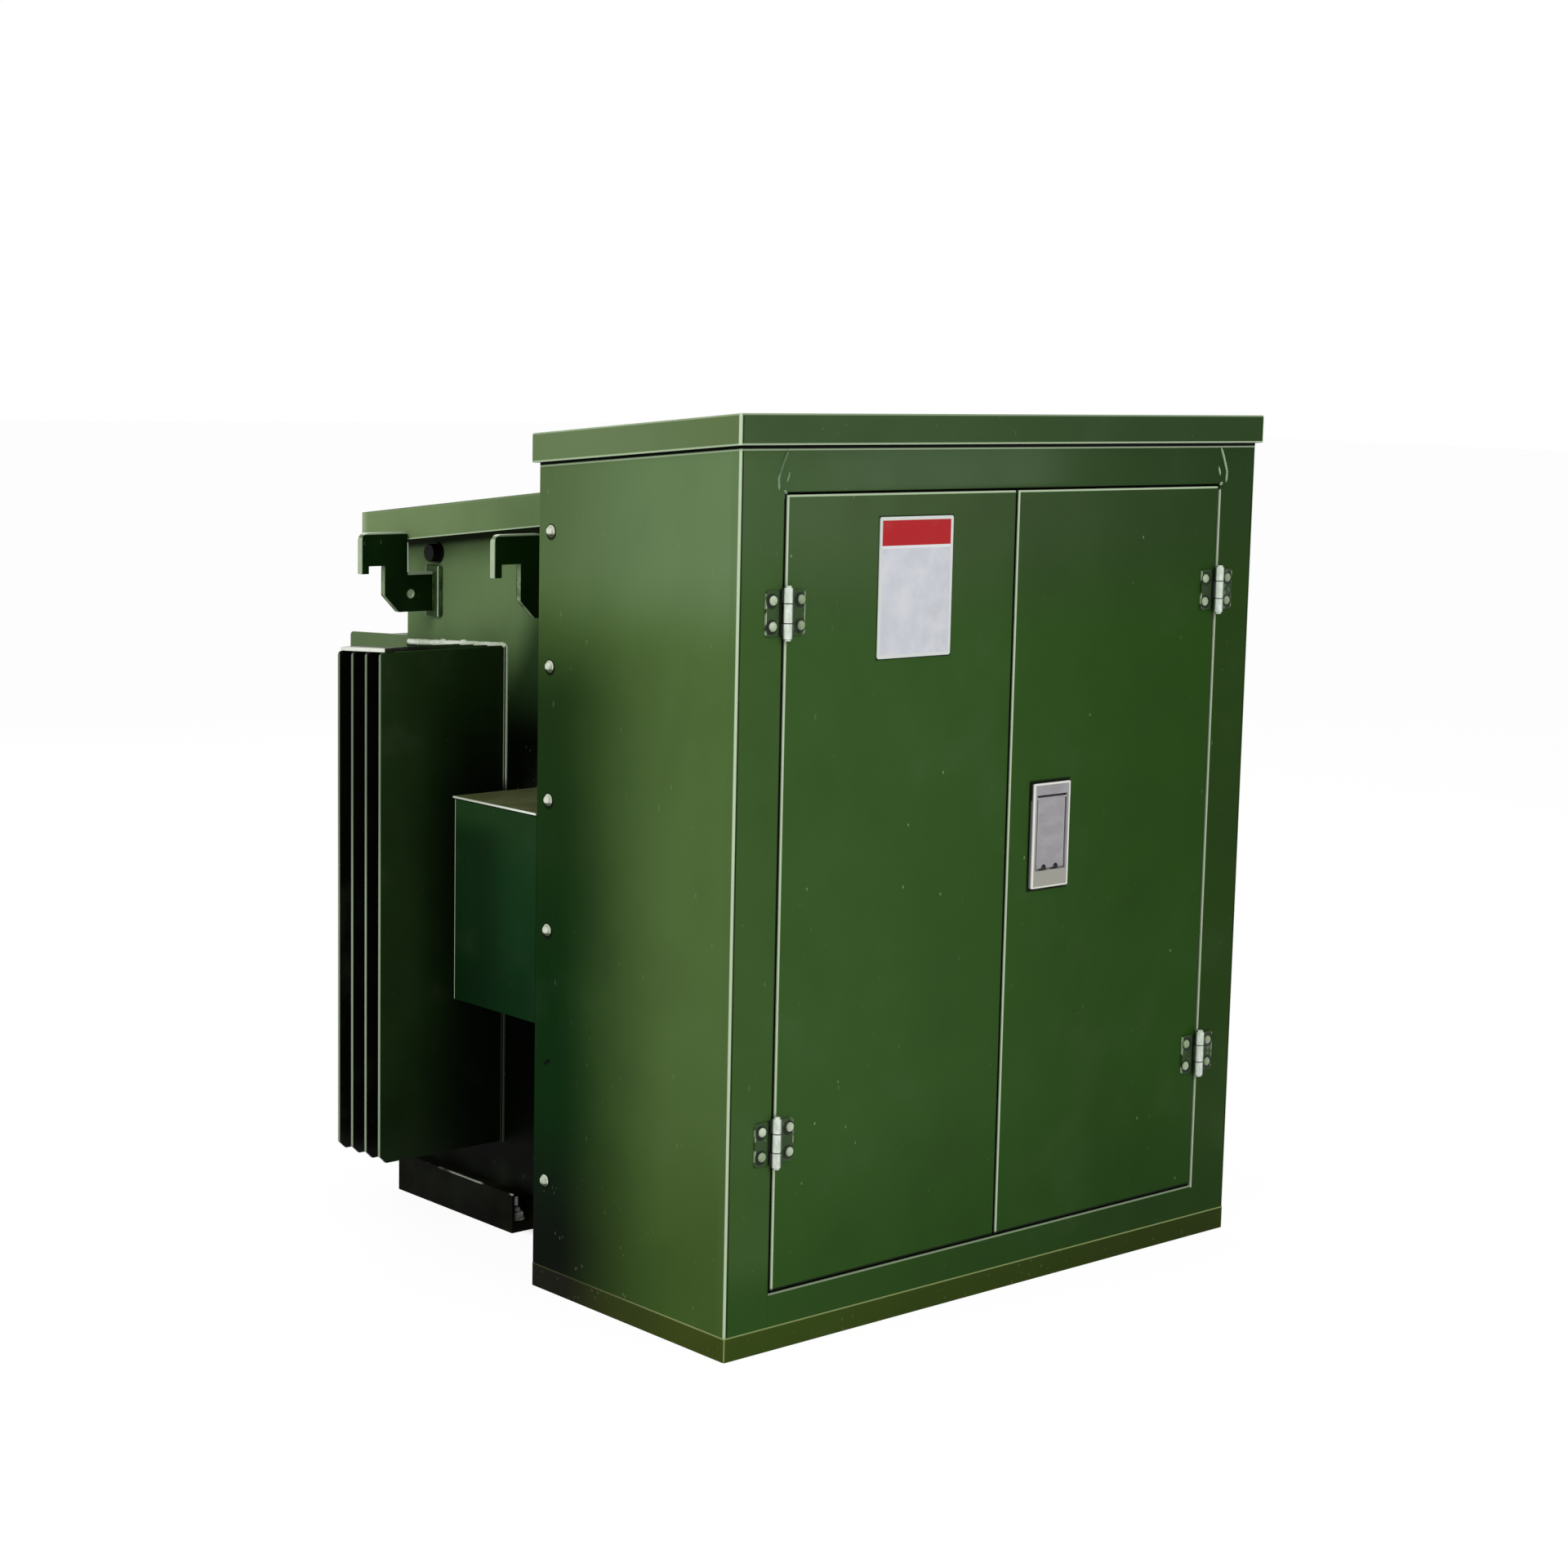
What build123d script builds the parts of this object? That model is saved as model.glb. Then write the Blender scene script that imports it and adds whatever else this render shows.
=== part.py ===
from build123d import *
from math import cos, radians, sin, tan
import os

# Power transformer for a concrete pad: a low terminal cabinet with two doors in
# front, and a finned oil tank behind it. Millimetres, X to the right, Y to the
# rear, Z up. The origin is on the ground, in the middle of the overall width and
# depth.

# Driving sizes of the cabinet
CABINET_W = 1500
CABINET_D = 625
HEIGHT = 1850
SHEET = 3
BEND = 4
STRIP_H = 50
EDGE = 1.2

# Roof cap, falling to the rear
ROOF_FALL_DEG = 5.2
ROOF_OVERHANG = 12
ROOF_SKIRT = 60
ROOF_BEND = 4

# Door opening, doors and their gaps
OPENING_W = 1270
OPENING_Z0 = 118
HEADER_H = 150
DOOR_GAP = 5
DOOR_GAP_MIDDLE = 7
DOOR_DEPTH = 25
DOOR_BEND = 2.5
DOOR_LIP = 16
DOOR_STIFFENER_W = 60
STOP_GAP = 5
STOP_LIP = 16
JAMB_SIDE_RETURN = 25

# Hinges on the front face
HINGE_H = 98
HINGE_CAP = 4
HINGE_CAP_R = 7
HINGE_FROM_SILL = 310
HINGE_FROM_HEADER = 230
BARREL_R = 10
HINGE_FACE_GAP = 1
KNUCKLE_END = 30
KNUCKLE_GAP = 0.5
PIN_R = 5
PIN_CLEARANCE = 0.3
LEAF_W = 50
LEAF_H = 88
LEAF_T = 4
LEAF_CORNER = 7
LEAF_CLEARANCE = 4

# Sign plate on the left door
SIGN_X = -286
SIGN_FROM_HEADER = 192
SIGN_W = 202
SIGN_H = 280
SIGN_T = 2
SIGN_CORNER = 5

# Lock on the right door, with a flap that lifts
LOCK_X = 125
LOCK_RISE = 62
LOCK_W = 111
LOCK_H = 223
LOCK_T = 9
LOCK_RIM = 10
LOCK_HEAD = 25
LOCK_FOOT = 37
LOCK_FLOOR = 3
LOCK_CORNER = 3
FLAP_T = 3
FLAP_BACK_GAP = 1
FLAP_SIDE_GAP = 5
FLAP_TOP_GAP = 5
FLAP_PIN_R = 2.2
FLAP_PIN_IN = 6
FLAP_PIN_CLEARANCE = 0.3
FLAP_NOTCH_R = 8
FLAP_NOTCH_X = 18

# Bulkhead between cabinet and tank
BULKHEAD_T = 8
BOLT_FLANGE = 45
BOLT_FLANGE_T = 6

# Tank, its flange and its sloping cover
TANK_W = 1060
TANK_D = 795
COVER_FALL_DEG = 6.6
COVER_OVERHANG = 75
COVER_SKIRT = 72
COVER_T = 6
COVER_DROP = 168
FLANGE_W = 45
FLANGE_T = 12

# Cooling fins
FIN_T = 8
FIN_FLAT = 1
FIN_PITCH = 53
FIN_Z0 = 188
FIN_DROP = 370
FIN_FALL_DEG = 3.6
FIN_REAR_STEP = 42
FIN_END_RISE = 31
FIN_END_FALL = 13
FIN_SIDE_START = 415
FIN_SIDE_COUNT = 4
FIN_SIDE_DEPTH = 325
FIN_REAR_COUNT = 20
FIN_REAR_DEPTH = 268
FIN_TOP_R = 10
FIN_FOOT_CHAMFER = 18
FIN_PANEL_T = 3
FIN_PANEL_MARGIN = 12
TIE_BAR_W = 28
TIE_BAR_H = 8

# Lifting hooks: plates across the tank's sides
HOOK_T = 16
HOOK_REAR_Y = 675
HOOK_FRONT_Y = 177
HOOK_DROP = 313
HOOK_FRONT_RISE = 26
HOOK_FOOT_H = 88
HOOK_STEM_IN = 81
HOOK_STEM_OUT = 141
HOOK_REACH = 203
HOOK_TOP_H = 179
HOOK_LEG_W = 19
HOOK_LEG_Z = 88
HOOK_MOUTH_Z = 105
HOOK_FRONT_STEM_OUT = 134
HOOK_FRONT_MOUTH_Z = 116
HOOK_CHAMFER = 38
HOOK_HEAD_R = 18
HOOK_NAPE_R = 8
HOOK_EYE_R = 8
HOOK_EYE_OUT = 72
HOOK_EYE_Z = 40
PAD_W = 50
PAD_H = 115
PAD_T = 10

# Boxes beside the tank
SIDE_BOX_D = 291
SIDE_BOX_DROP = 676
SIDE_BOX_H = 439
BOX_LID_T = 4
BOX_LID_LIP = 3

# Base frame under the tank
RAIL_H = 90
RAIL_OUT = 36
RAIL_W = 60
RAIL_WEB = 7
RAIL_START = 322
RAIL_END_GAP = 26
CROSS_W = 60
LUG_L = 62
LUG_T = 14
LUG_HOLE_R = 11

# Behind the doors
BARRIER_Y0 = 60
BARRIER_Z0 = 60
BUSHING_FLANGE_R = 62
BUSHING_FLANGE_T = 10
HV_X = -560
HV_SPACING = 180
HV_DROP = 670
HV_R = 42
HV_TIP_R = 30
HV_LEN = 140
LV_X = 130
LV_SPACING = 150
LV_DROP = 720
LV_STEP = 60
LV_R = 40
LV_TIP_R = 28
LV_LEN = 80
BLADE_L = 110
BLADE_H = 100
BLADE_T = 12
GROUND_PAD = 60
GROUND_PAD_T = 14
GROUND_PAD_Z = 190

# Filling plug on the tank's left side
PLUG_Y = 672
PLUG_DROP = 182
PLUG_R = 19
PLUG_L = 26
PLUG_COLLAR_R = 23
PLUG_COLLAR_T = 6

# Derived places
hinge_axis_out = BARREL_R + HINGE_FACE_GAP
front_reach = hinge_axis_out + BARREL_R
overall_d = front_reach + CABINET_D + TANK_D + FIN_PANEL_T + FIN_REAR_DEPTH
front = front_reach - overall_d / 2
cabinet_back = front + CABINET_D
half_w = CABINET_W / 2
half_opening = OPENING_W / 2
tank_half = TANK_W / 2
tank_back = cabinet_back + TANK_D
roof_fall = tan(radians(ROOF_FALL_DEG))
cover_fall = tan(radians(COVER_FALL_DEG))
fin_fall = tan(radians(FIN_FALL_DEG))
hinge_x = half_opening - DOOR_GAP / 2
hinge_y = front - hinge_axis_out
opening_z1 = HEIGHT - HEADER_H
cover_z_front = HEIGHT - COVER_DROP
hook_z = cover_z_front - HOOK_DROP
fin_z1 = cover_z_front - FIN_DROP
rear_fin_z1 = fin_z1 - FIN_REAR_STEP
stop_y = DOOR_DEPTH + STOP_GAP


def block(x0, x1, y0, y1, z0, z1):
    """A block between two corners."""
    middle = Pos((x0 + x1) / 2, (y0 + y1) / 2, (z0 + z1) / 2)
    return middle * Box(x1 - x0, y1 - y0, z1 - z0)


def across(points, x0, x1):
    """A solid whose outline is drawn in Y and Z, from x0 to x1."""
    outline = make_face(Polyline(*points, close=True))
    return extrude(Plane.YZ.offset(x0) * outline, amount=x1 - x0)


def upright(section, z0, z1):
    """A section drawn in X and Y, raised from z0 to z1."""
    return extrude(Plane.XY.offset(z0) * section, amount=z1 - z0)


def folded(points):
    """The section of a folded sheet along its middle line."""
    return trace(FilletPolyline(*points, radius=BEND - SHEET / 2), SHEET)


def other_side(shape):
    """The same piece on the other side of the middle plane."""
    return mirror(shape, about=Plane.YZ)


def roof_top(y):
    """Height of the roof's upper face at a depth."""
    return HEIGHT - (y - front + ROOF_OVERHANG) * roof_fall


def roof_under(y):
    """Height of the roof plate's lower face at a depth."""
    return roof_top(y) - SHEET / cos(radians(ROOF_FALL_DEG))


def cover_top(y):
    """Height of the tank cover's upper face at a depth."""
    return cover_z_front - (y - cabinet_back) * cover_fall


def cover_under(y):
    """Height of the tank cover plate's lower face at a depth."""
    return cover_top(y) - COVER_T / cos(radians(COVER_FALL_DEG))


def below(height_at, y0, y1):
    """The space under a sloping face, to trim what seats against it."""
    points = [(y0, 0), (y1, 0), (y1, height_at(y1)), (y0, height_at(y0))]
    return across(points, -CABINET_W, CABINET_W)


def node(name, *solids):
    """Write one named piece."""
    shape = solids[0] if len(solids) == 1 else Compound(children=list(solids))
    shape.label = name
    export_step(shape, f"parts/{name}.step")


os.makedirs("parts", exist_ok=True)
under_roof = below(roof_under, front, cabinet_back)

# Roof: a folded cap with a straight skirt, its top edges bent round
roof_front = front - ROOF_OVERHANG
roof_back = cabinet_back + ROOF_OVERHANG
roof_half = half_w + ROOF_OVERHANG
roof_outline = [
    (roof_front, roof_top(roof_front)),
    (roof_back, roof_top(roof_back)),
    (roof_back, roof_top(roof_back) - ROOF_SKIRT),
    (roof_front, roof_top(roof_front) - ROOF_SKIRT),
]
cap = across(roof_outline, -roof_half, roof_half)
cap_top = cap.faces().sort_by(Axis.Z)[-1]
cap_corners = cap.edges().filter_by(Axis.Z)
cap = fillet(list(cap_top.edges()) + list(cap_corners), ROOF_BEND)
hollow_front = roof_front + SHEET
hollow_back = roof_back - SHEET
hollow = across(
    [
        (hollow_front, roof_under(hollow_front)),
        (hollow_back, roof_under(hollow_back)),
        (hollow_back, roof_under(hollow_back) - 2 * ROOF_SKIRT),
        (hollow_front, roof_under(hollow_front) - 2 * ROOF_SKIRT),
    ],
    SHEET - roof_half,
    roof_half - SHEET,
)
node("roof", cap - hollow)

# Side panels: flat sheets from the low strip up to the roof
panel_front = front + JAMB_SIDE_RETURN
panel = block(-half_w, SHEET - half_w, panel_front, cabinet_back, STRIP_H, HEIGHT) & under_roof
panel_outer = panel.faces().sort_by(Axis.X)[0]
panel_edges = panel_outer.edges().filter_by(Axis.Y) + panel_outer.edges().sort_by(Axis.Y)[-1:]
side_panel = chamfer(panel_edges.sort_by(Axis.Z)[:2], EDGE)
node("side_panel_left", side_panel)
node("side_panel_right", other_side(side_panel))

# Jambs: folded posts with a return along the side and a stop behind the door
jamb_line = [
    (-half_w + SHEET / 2, front + JAMB_SIDE_RETURN),
    (-half_w + SHEET / 2, front + SHEET / 2),
    (-half_opening - SHEET / 2, front + SHEET / 2),
    (-half_opening - SHEET / 2, front + stop_y + SHEET / 2),
    (-half_opening + STOP_LIP, front + stop_y + SHEET / 2),
]
jamb = upright(folded(jamb_line), STRIP_H, HEIGHT) & under_roof
node("jamb_left", jamb)
node("jamb_right", other_side(jamb))


# Header and sill: folded rails between the jambs, with the same stop
def rail(z_face, z_far, inward):
    """A front rail; inward is +1 where the opening lies above it and -1 below."""
    line = [
        (front + SHEET / 2, z_far),
        (front + SHEET / 2, z_face - inward * SHEET / 2),
        (front + stop_y + SHEET / 2, z_face - inward * SHEET / 2),
        (front + stop_y + SHEET / 2, z_face + inward * STOP_LIP),
    ]
    plane = Plane.YZ.offset(-half_opening - SHEET)
    return extrude(plane * folded(line), amount=OPENING_W + 2 * SHEET)


jambs_space = jamb + other_side(jamb)
header = (rail(opening_z1, HEIGHT, -1) & under_roof) - jambs_space
sill = rail(OPENING_Z0, STRIP_H, 1) - jambs_space
node("header", header.solids().sort_by(SortBy.VOLUME)[-1])
node("sill", sill.solids().sort_by(SortBy.VOLUME)[-1])

# Base strips: flat bars round the foot of the cabinet
strip_front = block(-half_w, half_w, front, front + SHEET, 0, STRIP_H)
strip_front = chamfer(strip_front.faces().sort_by(Axis.Y)[0].edges().filter_by(Axis.Z), EDGE)
strip_left = block(-half_w, SHEET - half_w, front + SHEET, cabinet_back, 0, STRIP_H)
node("base_strip_front", strip_front)
node("base_strip_left", strip_left)
node("base_strip_right", other_side(strip_left))

# Doors: folded trays with an inner lip and one upright stiffener
door_z0 = OPENING_Z0 + DOOR_GAP
door_z1 = opening_z1 - DOOR_GAP
door_x0 = -half_opening + DOOR_GAP
door_x1 = -DOOR_GAP_MIDDLE / 2
door_back = front + DOOR_DEPTH
door = block(door_x0, door_x1, front, door_back, door_z0, door_z1)
door = fillet(door.faces().sort_by(Axis.Y)[0].edges(), DOOR_BEND)
tray = block(
    door_x0 + SHEET,
    door_x1 - SHEET,
    front + SHEET,
    door_back - SHEET,
    door_z0 + SHEET,
    door_z1 - SHEET,
)
mouth = block(
    door_x0 + DOOR_LIP,
    door_x1 - DOOR_LIP,
    front + SHEET,
    door_back,
    door_z0 + DOOR_LIP,
    door_z1 - DOOR_LIP,
)
door_mid = (door_x0 + door_x1) / 2
stiffener = block(
    door_mid - DOOR_STIFFENER_W / 2,
    door_mid + DOOR_STIFFENER_W / 2,
    front + SHEET,
    door_back - SHEET,
    door_z0 + SHEET,
    door_z1 - SHEET,
)
stiffener_inside = block(
    door_mid - DOOR_STIFFENER_W / 2 + SHEET,
    door_mid + DOOR_STIFFENER_W / 2 - SHEET,
    front + SHEET,
    door_back - 2 * SHEET,
    door_z0 + SHEET,
    door_z1 - SHEET,
)
door_left = door - tray - mouth + (stiffener - stiffener_inside)
node("door_left", door_left)
node("door_right", other_side(door_left))


# Hinges: leaves on the faces, three knuckles round one pin
def plate_on_front(x0, x1, z0, z1, thickness, corner):
    """A plate on the front plane, its corners rounded."""
    outline = Pos((x0 + x1) / 2, (z0 + z1) / 2) * RectangleRounded(x1 - x0, z1 - z0, corner)
    return extrude(Plane.XZ.offset(-front) * outline, amount=thickness)


def barrel(z0, z1, radius):
    """A length of round bar on the hinge axis."""
    bar = Cylinder(radius, z1 - z0, align=(Align.CENTER, Align.CENTER, Align.MIN))
    return Pos(-hinge_x, hinge_y, z0) * bar


def hinge(z_mid):
    """The frame's half and the door's half of one hinge."""
    z_low = z_mid - HINGE_H / 2
    z_high = z_mid + HINGE_H / 2
    middle_low = z_low + KNUCKLE_END
    middle_high = z_high - KNUCKLE_END
    leaf_z0 = z_mid - LEAF_H / 2
    leaf_z1 = z_mid + LEAF_H / 2
    clear = BARREL_R + LEAF_CLEARANCE
    tall = LEAF_H
    frame_leaf = plate_on_front(-hinge_x - LEAF_W, -hinge_x, leaf_z0, leaf_z1, LEAF_T, LEAF_CORNER)
    frame_leaf -= block(
        -hinge_x - clear,
        -hinge_x + clear,
        hinge_y - clear,
        hinge_y + clear,
        middle_low - KNUCKLE_GAP,
        middle_high + KNUCKLE_GAP,
    )
    frame_leaf += barrel(z_low, middle_low - KNUCKLE_GAP, BARREL_R)
    frame_leaf += barrel(middle_high + KNUCKLE_GAP, z_high, BARREL_R)
    frame_leaf += barrel(z_low - HINGE_CAP, z_high + HINGE_CAP, PIN_R)
    frame_leaf += barrel(z_low - HINGE_CAP, z_low, HINGE_CAP_R)
    frame_leaf += barrel(z_high, z_high + HINGE_CAP, HINGE_CAP_R)
    door_leaf = plate_on_front(-hinge_x, -hinge_x + LEAF_W, leaf_z0, leaf_z1, LEAF_T, LEAF_CORNER)
    for zone_z0, zone_z1 in ((z_low - tall, middle_low), (middle_high, z_high + tall)):
        door_leaf -= block(
            -hinge_x - clear,
            -hinge_x + clear,
            hinge_y - clear,
            hinge_y + clear,
            zone_z0,
            zone_z1,
        )
    door_leaf += barrel(middle_low, middle_high, BARREL_R)
    door_leaf -= barrel(z_low, z_high, PIN_R + PIN_CLEARANCE)
    return frame_leaf, door_leaf


hinges = [hinge(OPENING_Z0 + HINGE_FROM_SILL), hinge(opening_z1 - HINGE_FROM_HEADER)]
frame_halves = [pair[0] for pair in hinges]
door_halves = [pair[1] for pair in hinges]
node("hinge_frame_left", *frame_halves)
node("hinge_door_left", *door_halves)
node("hinge_frame_right", *[other_side(half) for half in frame_halves])
node("hinge_door_right", *[other_side(half) for half in door_halves])

# Sign plate: a thin sheet on the left door
sign_z = opening_z1 - SIGN_FROM_HEADER
node(
    "sign_plate",
    plate_on_front(
        SIGN_X - SIGN_W / 2,
        SIGN_X + SIGN_W / 2,
        sign_z - SIGN_H / 2,
        sign_z + SIGN_H / 2,
        SIGN_T,
        SIGN_CORNER,
    ),
)

# Lock: a cast frame with a recess, and a flap that hangs in it on a pin
lock_x0 = LOCK_X - LOCK_W / 2
lock_x1 = LOCK_X + LOCK_W / 2
lock_z = (OPENING_Z0 + opening_z1) / 2 + LOCK_RISE
lock_z0 = lock_z - LOCK_H / 2
lock_z1 = lock_z + LOCK_H / 2
recess_x0 = lock_x0 + LOCK_RIM
recess_x1 = lock_x1 - LOCK_RIM
recess_z0 = lock_z0 + LOCK_FOOT
recess_z1 = lock_z1 - LOCK_HEAD
flap_back = front - LOCK_FLOOR - FLAP_BACK_GAP
flap_axis_y = flap_back - FLAP_T / 2
flap_axis_z = recess_z1 - FLAP_TOP_GAP - FLAP_PIN_R


def flap_bar(x0, x1, radius):
    """A round bar on the flap's axis."""
    bar = Cylinder(radius, x1 - x0)
    return Pos((x0 + x1) / 2, flap_axis_y, flap_axis_z) * Rot(0, 90, 0) * bar


lock_frame = plate_on_front(lock_x0, lock_x1, lock_z0, lock_z1, LOCK_T, LOCK_CORNER)
lock_frame = chamfer(lock_frame.faces().sort_by(Axis.Y)[0].edges(), EDGE)
lock_frame -= block(recess_x0, recess_x1, front - LOCK_T, front - LOCK_FLOOR, recess_z0, recess_z1)
lock_frame -= flap_bar(recess_x0 - FLAP_PIN_IN - FLAP_PIN_CLEARANCE, recess_x1 + FLAP_PIN_IN
                       + FLAP_PIN_CLEARANCE, FLAP_PIN_R + FLAP_PIN_CLEARANCE)
flap = block(
    recess_x0 + FLAP_SIDE_GAP,
    recess_x1 - FLAP_SIDE_GAP,
    flap_back - FLAP_T,
    flap_back,
    recess_z0 + FLAP_SIDE_GAP,
    flap_axis_z,
)
for notch_x in (LOCK_X - FLAP_NOTCH_X, LOCK_X + FLAP_NOTCH_X):
    notch = Rot(90, 0, 0) * Cylinder(FLAP_NOTCH_R, LOCK_T)
    flap -= Pos(notch_x, flap_axis_y, recess_z0 + FLAP_SIDE_GAP) * notch
flap += flap_bar(recess_x0 - FLAP_PIN_IN, recess_x1 + FLAP_PIN_IN, FLAP_PIN_R)
node("lock_frame", lock_frame)
node("lock_flap", flap)

# Bulkhead: the full width plate, and the angles that the side panels bolt to
inner_half = half_w - SHEET
bulkhead_y = cabinet_back - BULKHEAD_T
bulkhead = block(-inner_half, inner_half, bulkhead_y, cabinet_back, 0, HEIGHT)
node("bulkhead", bulkhead & under_roof)
bolt_flange = block(
    -inner_half,
    BOLT_FLANGE_T - inner_half,
    bulkhead_y - BOLT_FLANGE,
    bulkhead_y,
    STRIP_H,
    HEIGHT,
)
bolt_flange &= under_roof
node("bolt_flanges", bolt_flange, other_side(bolt_flange))

# Tank: the welded body full of oil and windings, its top parallel to the cover
tank_outline = [
    (cabinet_back, RAIL_H),
    (tank_back, RAIL_H),
    (tank_back, cover_under(tank_back)),
    (cabinet_back, cover_under(cabinet_back)),
]
tank = across(tank_outline, -tank_half, tank_half)
tank = fillet(tank.edges().filter_by(Axis.Z).sort_by(Axis.Y)[-2:], BEND)
node("tank_body", tank)


# Flange: a bar round the tank's top edge, under the cover
def sloped_plate(y0, y1, half, z_at, thickness):
    """A plate parallel to the cover, from its upper face down."""
    points = [(y0, z_at(y0)), (y1, z_at(y1)), (y1, z_at(y1) - thickness), (y0, z_at(y0) - thickness)]
    return across(points, -half, half)


flange = sloped_plate(cabinet_back, tank_back + FLANGE_W, tank_half + FLANGE_W, cover_under, FLANGE_T)
node("tank_flange", flange - tank)

# Cover: a folded lid with a skirt on three sides
cover_half = tank_half + COVER_OVERHANG
cover_back = tank_back + COVER_OVERHANG
cover = sloped_plate(cabinet_back, cover_back, cover_half, cover_top, COVER_SKIRT)
cover_crown = cover.faces().sort_by(Axis.Z)[-1]
crown_edges = cover_crown.edges().sort_by(Axis.Y)[1:]
cover = fillet(list(crown_edges) + list(cover.edges().filter_by(Axis.Z).sort_by(Axis.Y)[-2:]), BEND)
inside_back = cover_back - COVER_T
inside_half = cover_half - COVER_T
cover_inside = sloped_plate(cabinet_back, inside_back, inside_half, cover_under, COVER_SKIRT)
node("tank_cover", cover - cover_inside)


# Fins: flat pockets on a panel, one bank on each free side of the tank. The
# side banks step down towards the rear, and a taller fin closes the rear bank's ends.
def fin_outline(depth, top, fall):
    """A fin's outline, from its root outwards, rounded above and chamfered below."""
    points = [(0, FIN_Z0), (depth, FIN_Z0), (depth, top - fall), (0, top)]
    shape = make_face(Polyline(*points, close=True))
    outer = shape.vertices().sort_by(Axis.X)[-2:].sort_by(Axis.Y)
    shape = fillet(outer[-1], FIN_TOP_R)
    foot = shape.vertices().sort_by(Axis.Y)[:2].sort_by(Axis.X)[-1]
    return chamfer(foot, FIN_FOOT_CHAMFER)


def fin(depth, top, fall=0):
    """One fin along +X from the origin, its outer fold rounded."""
    pocket = extrude(Plane.XZ * fin_outline(depth, top, fall), amount=FIN_T / 2, both=True)
    tip = pocket.edges().filter_by(Axis.Z).sort_by(Axis.X)[-2:]
    return fillet(tip, (FIN_T - FIN_FLAT) / 2)


side_fin_y = [cabinet_back + FIN_SIDE_START + FIN_T / 2 + i * FIN_PITCH for i in range(FIN_SIDE_COUNT)]
side_root = tank_half + FIN_PANEL_T


def side_top(y):
    """Height of a side bank's upper edge at a depth."""
    return fin_z1 - (y - side_fin_y[0]) * fin_fall


fins_right = [Pos(side_root, y, 0) * fin(FIN_SIDE_DEPTH, side_top(y + FIN_T / 2)) for y in side_fin_y]
fins_left = [other_side(piece) for piece in fins_right]
node("fin_bank_left", *fins_left)
node("fin_bank_right", *fins_right)
rear_span = (FIN_REAR_COUNT - 1) * FIN_PITCH
rear_fin_x = [-rear_span / 2 + i * FIN_PITCH for i in range(FIN_REAR_COUNT)]
rear_root = tank_back + FIN_PANEL_T
rear_fin = Rot(0, 0, 90) * fin(FIN_REAR_DEPTH, rear_fin_z1)
end_fin = Rot(0, 0, 90) * fin(FIN_REAR_DEPTH, rear_fin_z1 + FIN_END_RISE, FIN_END_FALL)
rear_fins = [Pos(x, rear_root, 0) * rear_fin for x in rear_fin_x[1:-1]]
end_fins = [Pos(x, rear_root, 0) * end_fin for x in (rear_fin_x[0], rear_fin_x[-1])]
node("fin_bank_rear", *rear_fins, *end_fins)

# Fin panels: the flat margins of the corrugated walls, welded on the tank
panel_y0 = side_fin_y[0] - FIN_T / 2 - FIN_PANEL_MARGIN
panel_y1 = tank_back - BEND
side_panel_outline = [
    (panel_y0, FIN_Z0),
    (panel_y1, FIN_Z0),
    (panel_y1, side_top(panel_y1)),
    (panel_y0, side_top(panel_y0)),
]
side_fin_panel = across(side_panel_outline, tank_half, side_root)
rear_half = tank_half - BEND
rear_fin_panel = block(-rear_half, rear_half, tank_back, rear_root, FIN_Z0, rear_fin_z1 + FIN_END_RISE)
node("fin_panels", side_fin_panel, other_side(side_fin_panel), rear_fin_panel)

# Tie bars: flat bars across the fins' outer ends, on their upper edges
bar_end = FIN_SIDE_DEPTH - FIN_TOP_R
bar_y0 = side_fin_y[0] - FIN_T / 2
bar_y1 = side_fin_y[-1] + FIN_T / 2
side_bar_outline = [
    (bar_y0, side_top(bar_y0)),
    (bar_y1, side_top(bar_y1)),
    (bar_y1, side_top(bar_y1) + TIE_BAR_H),
    (bar_y0, side_top(bar_y0) + TIE_BAR_H),
]
side_bar = across(side_bar_outline, side_root + bar_end - TIE_BAR_W, side_root + bar_end)
rear_bar_end = rear_root + FIN_REAR_DEPTH - FIN_TOP_R
rear_bar_half = rear_span / 2 - FIN_T / 2
rear_bar = block(
    -rear_bar_half,
    rear_bar_half,
    rear_bar_end - TIE_BAR_W,
    rear_bar_end,
    rear_fin_z1,
    rear_fin_z1 + TIE_BAR_H,
)
node("fin_tie_bars", side_bar, other_side(side_bar), rear_bar)


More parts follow.
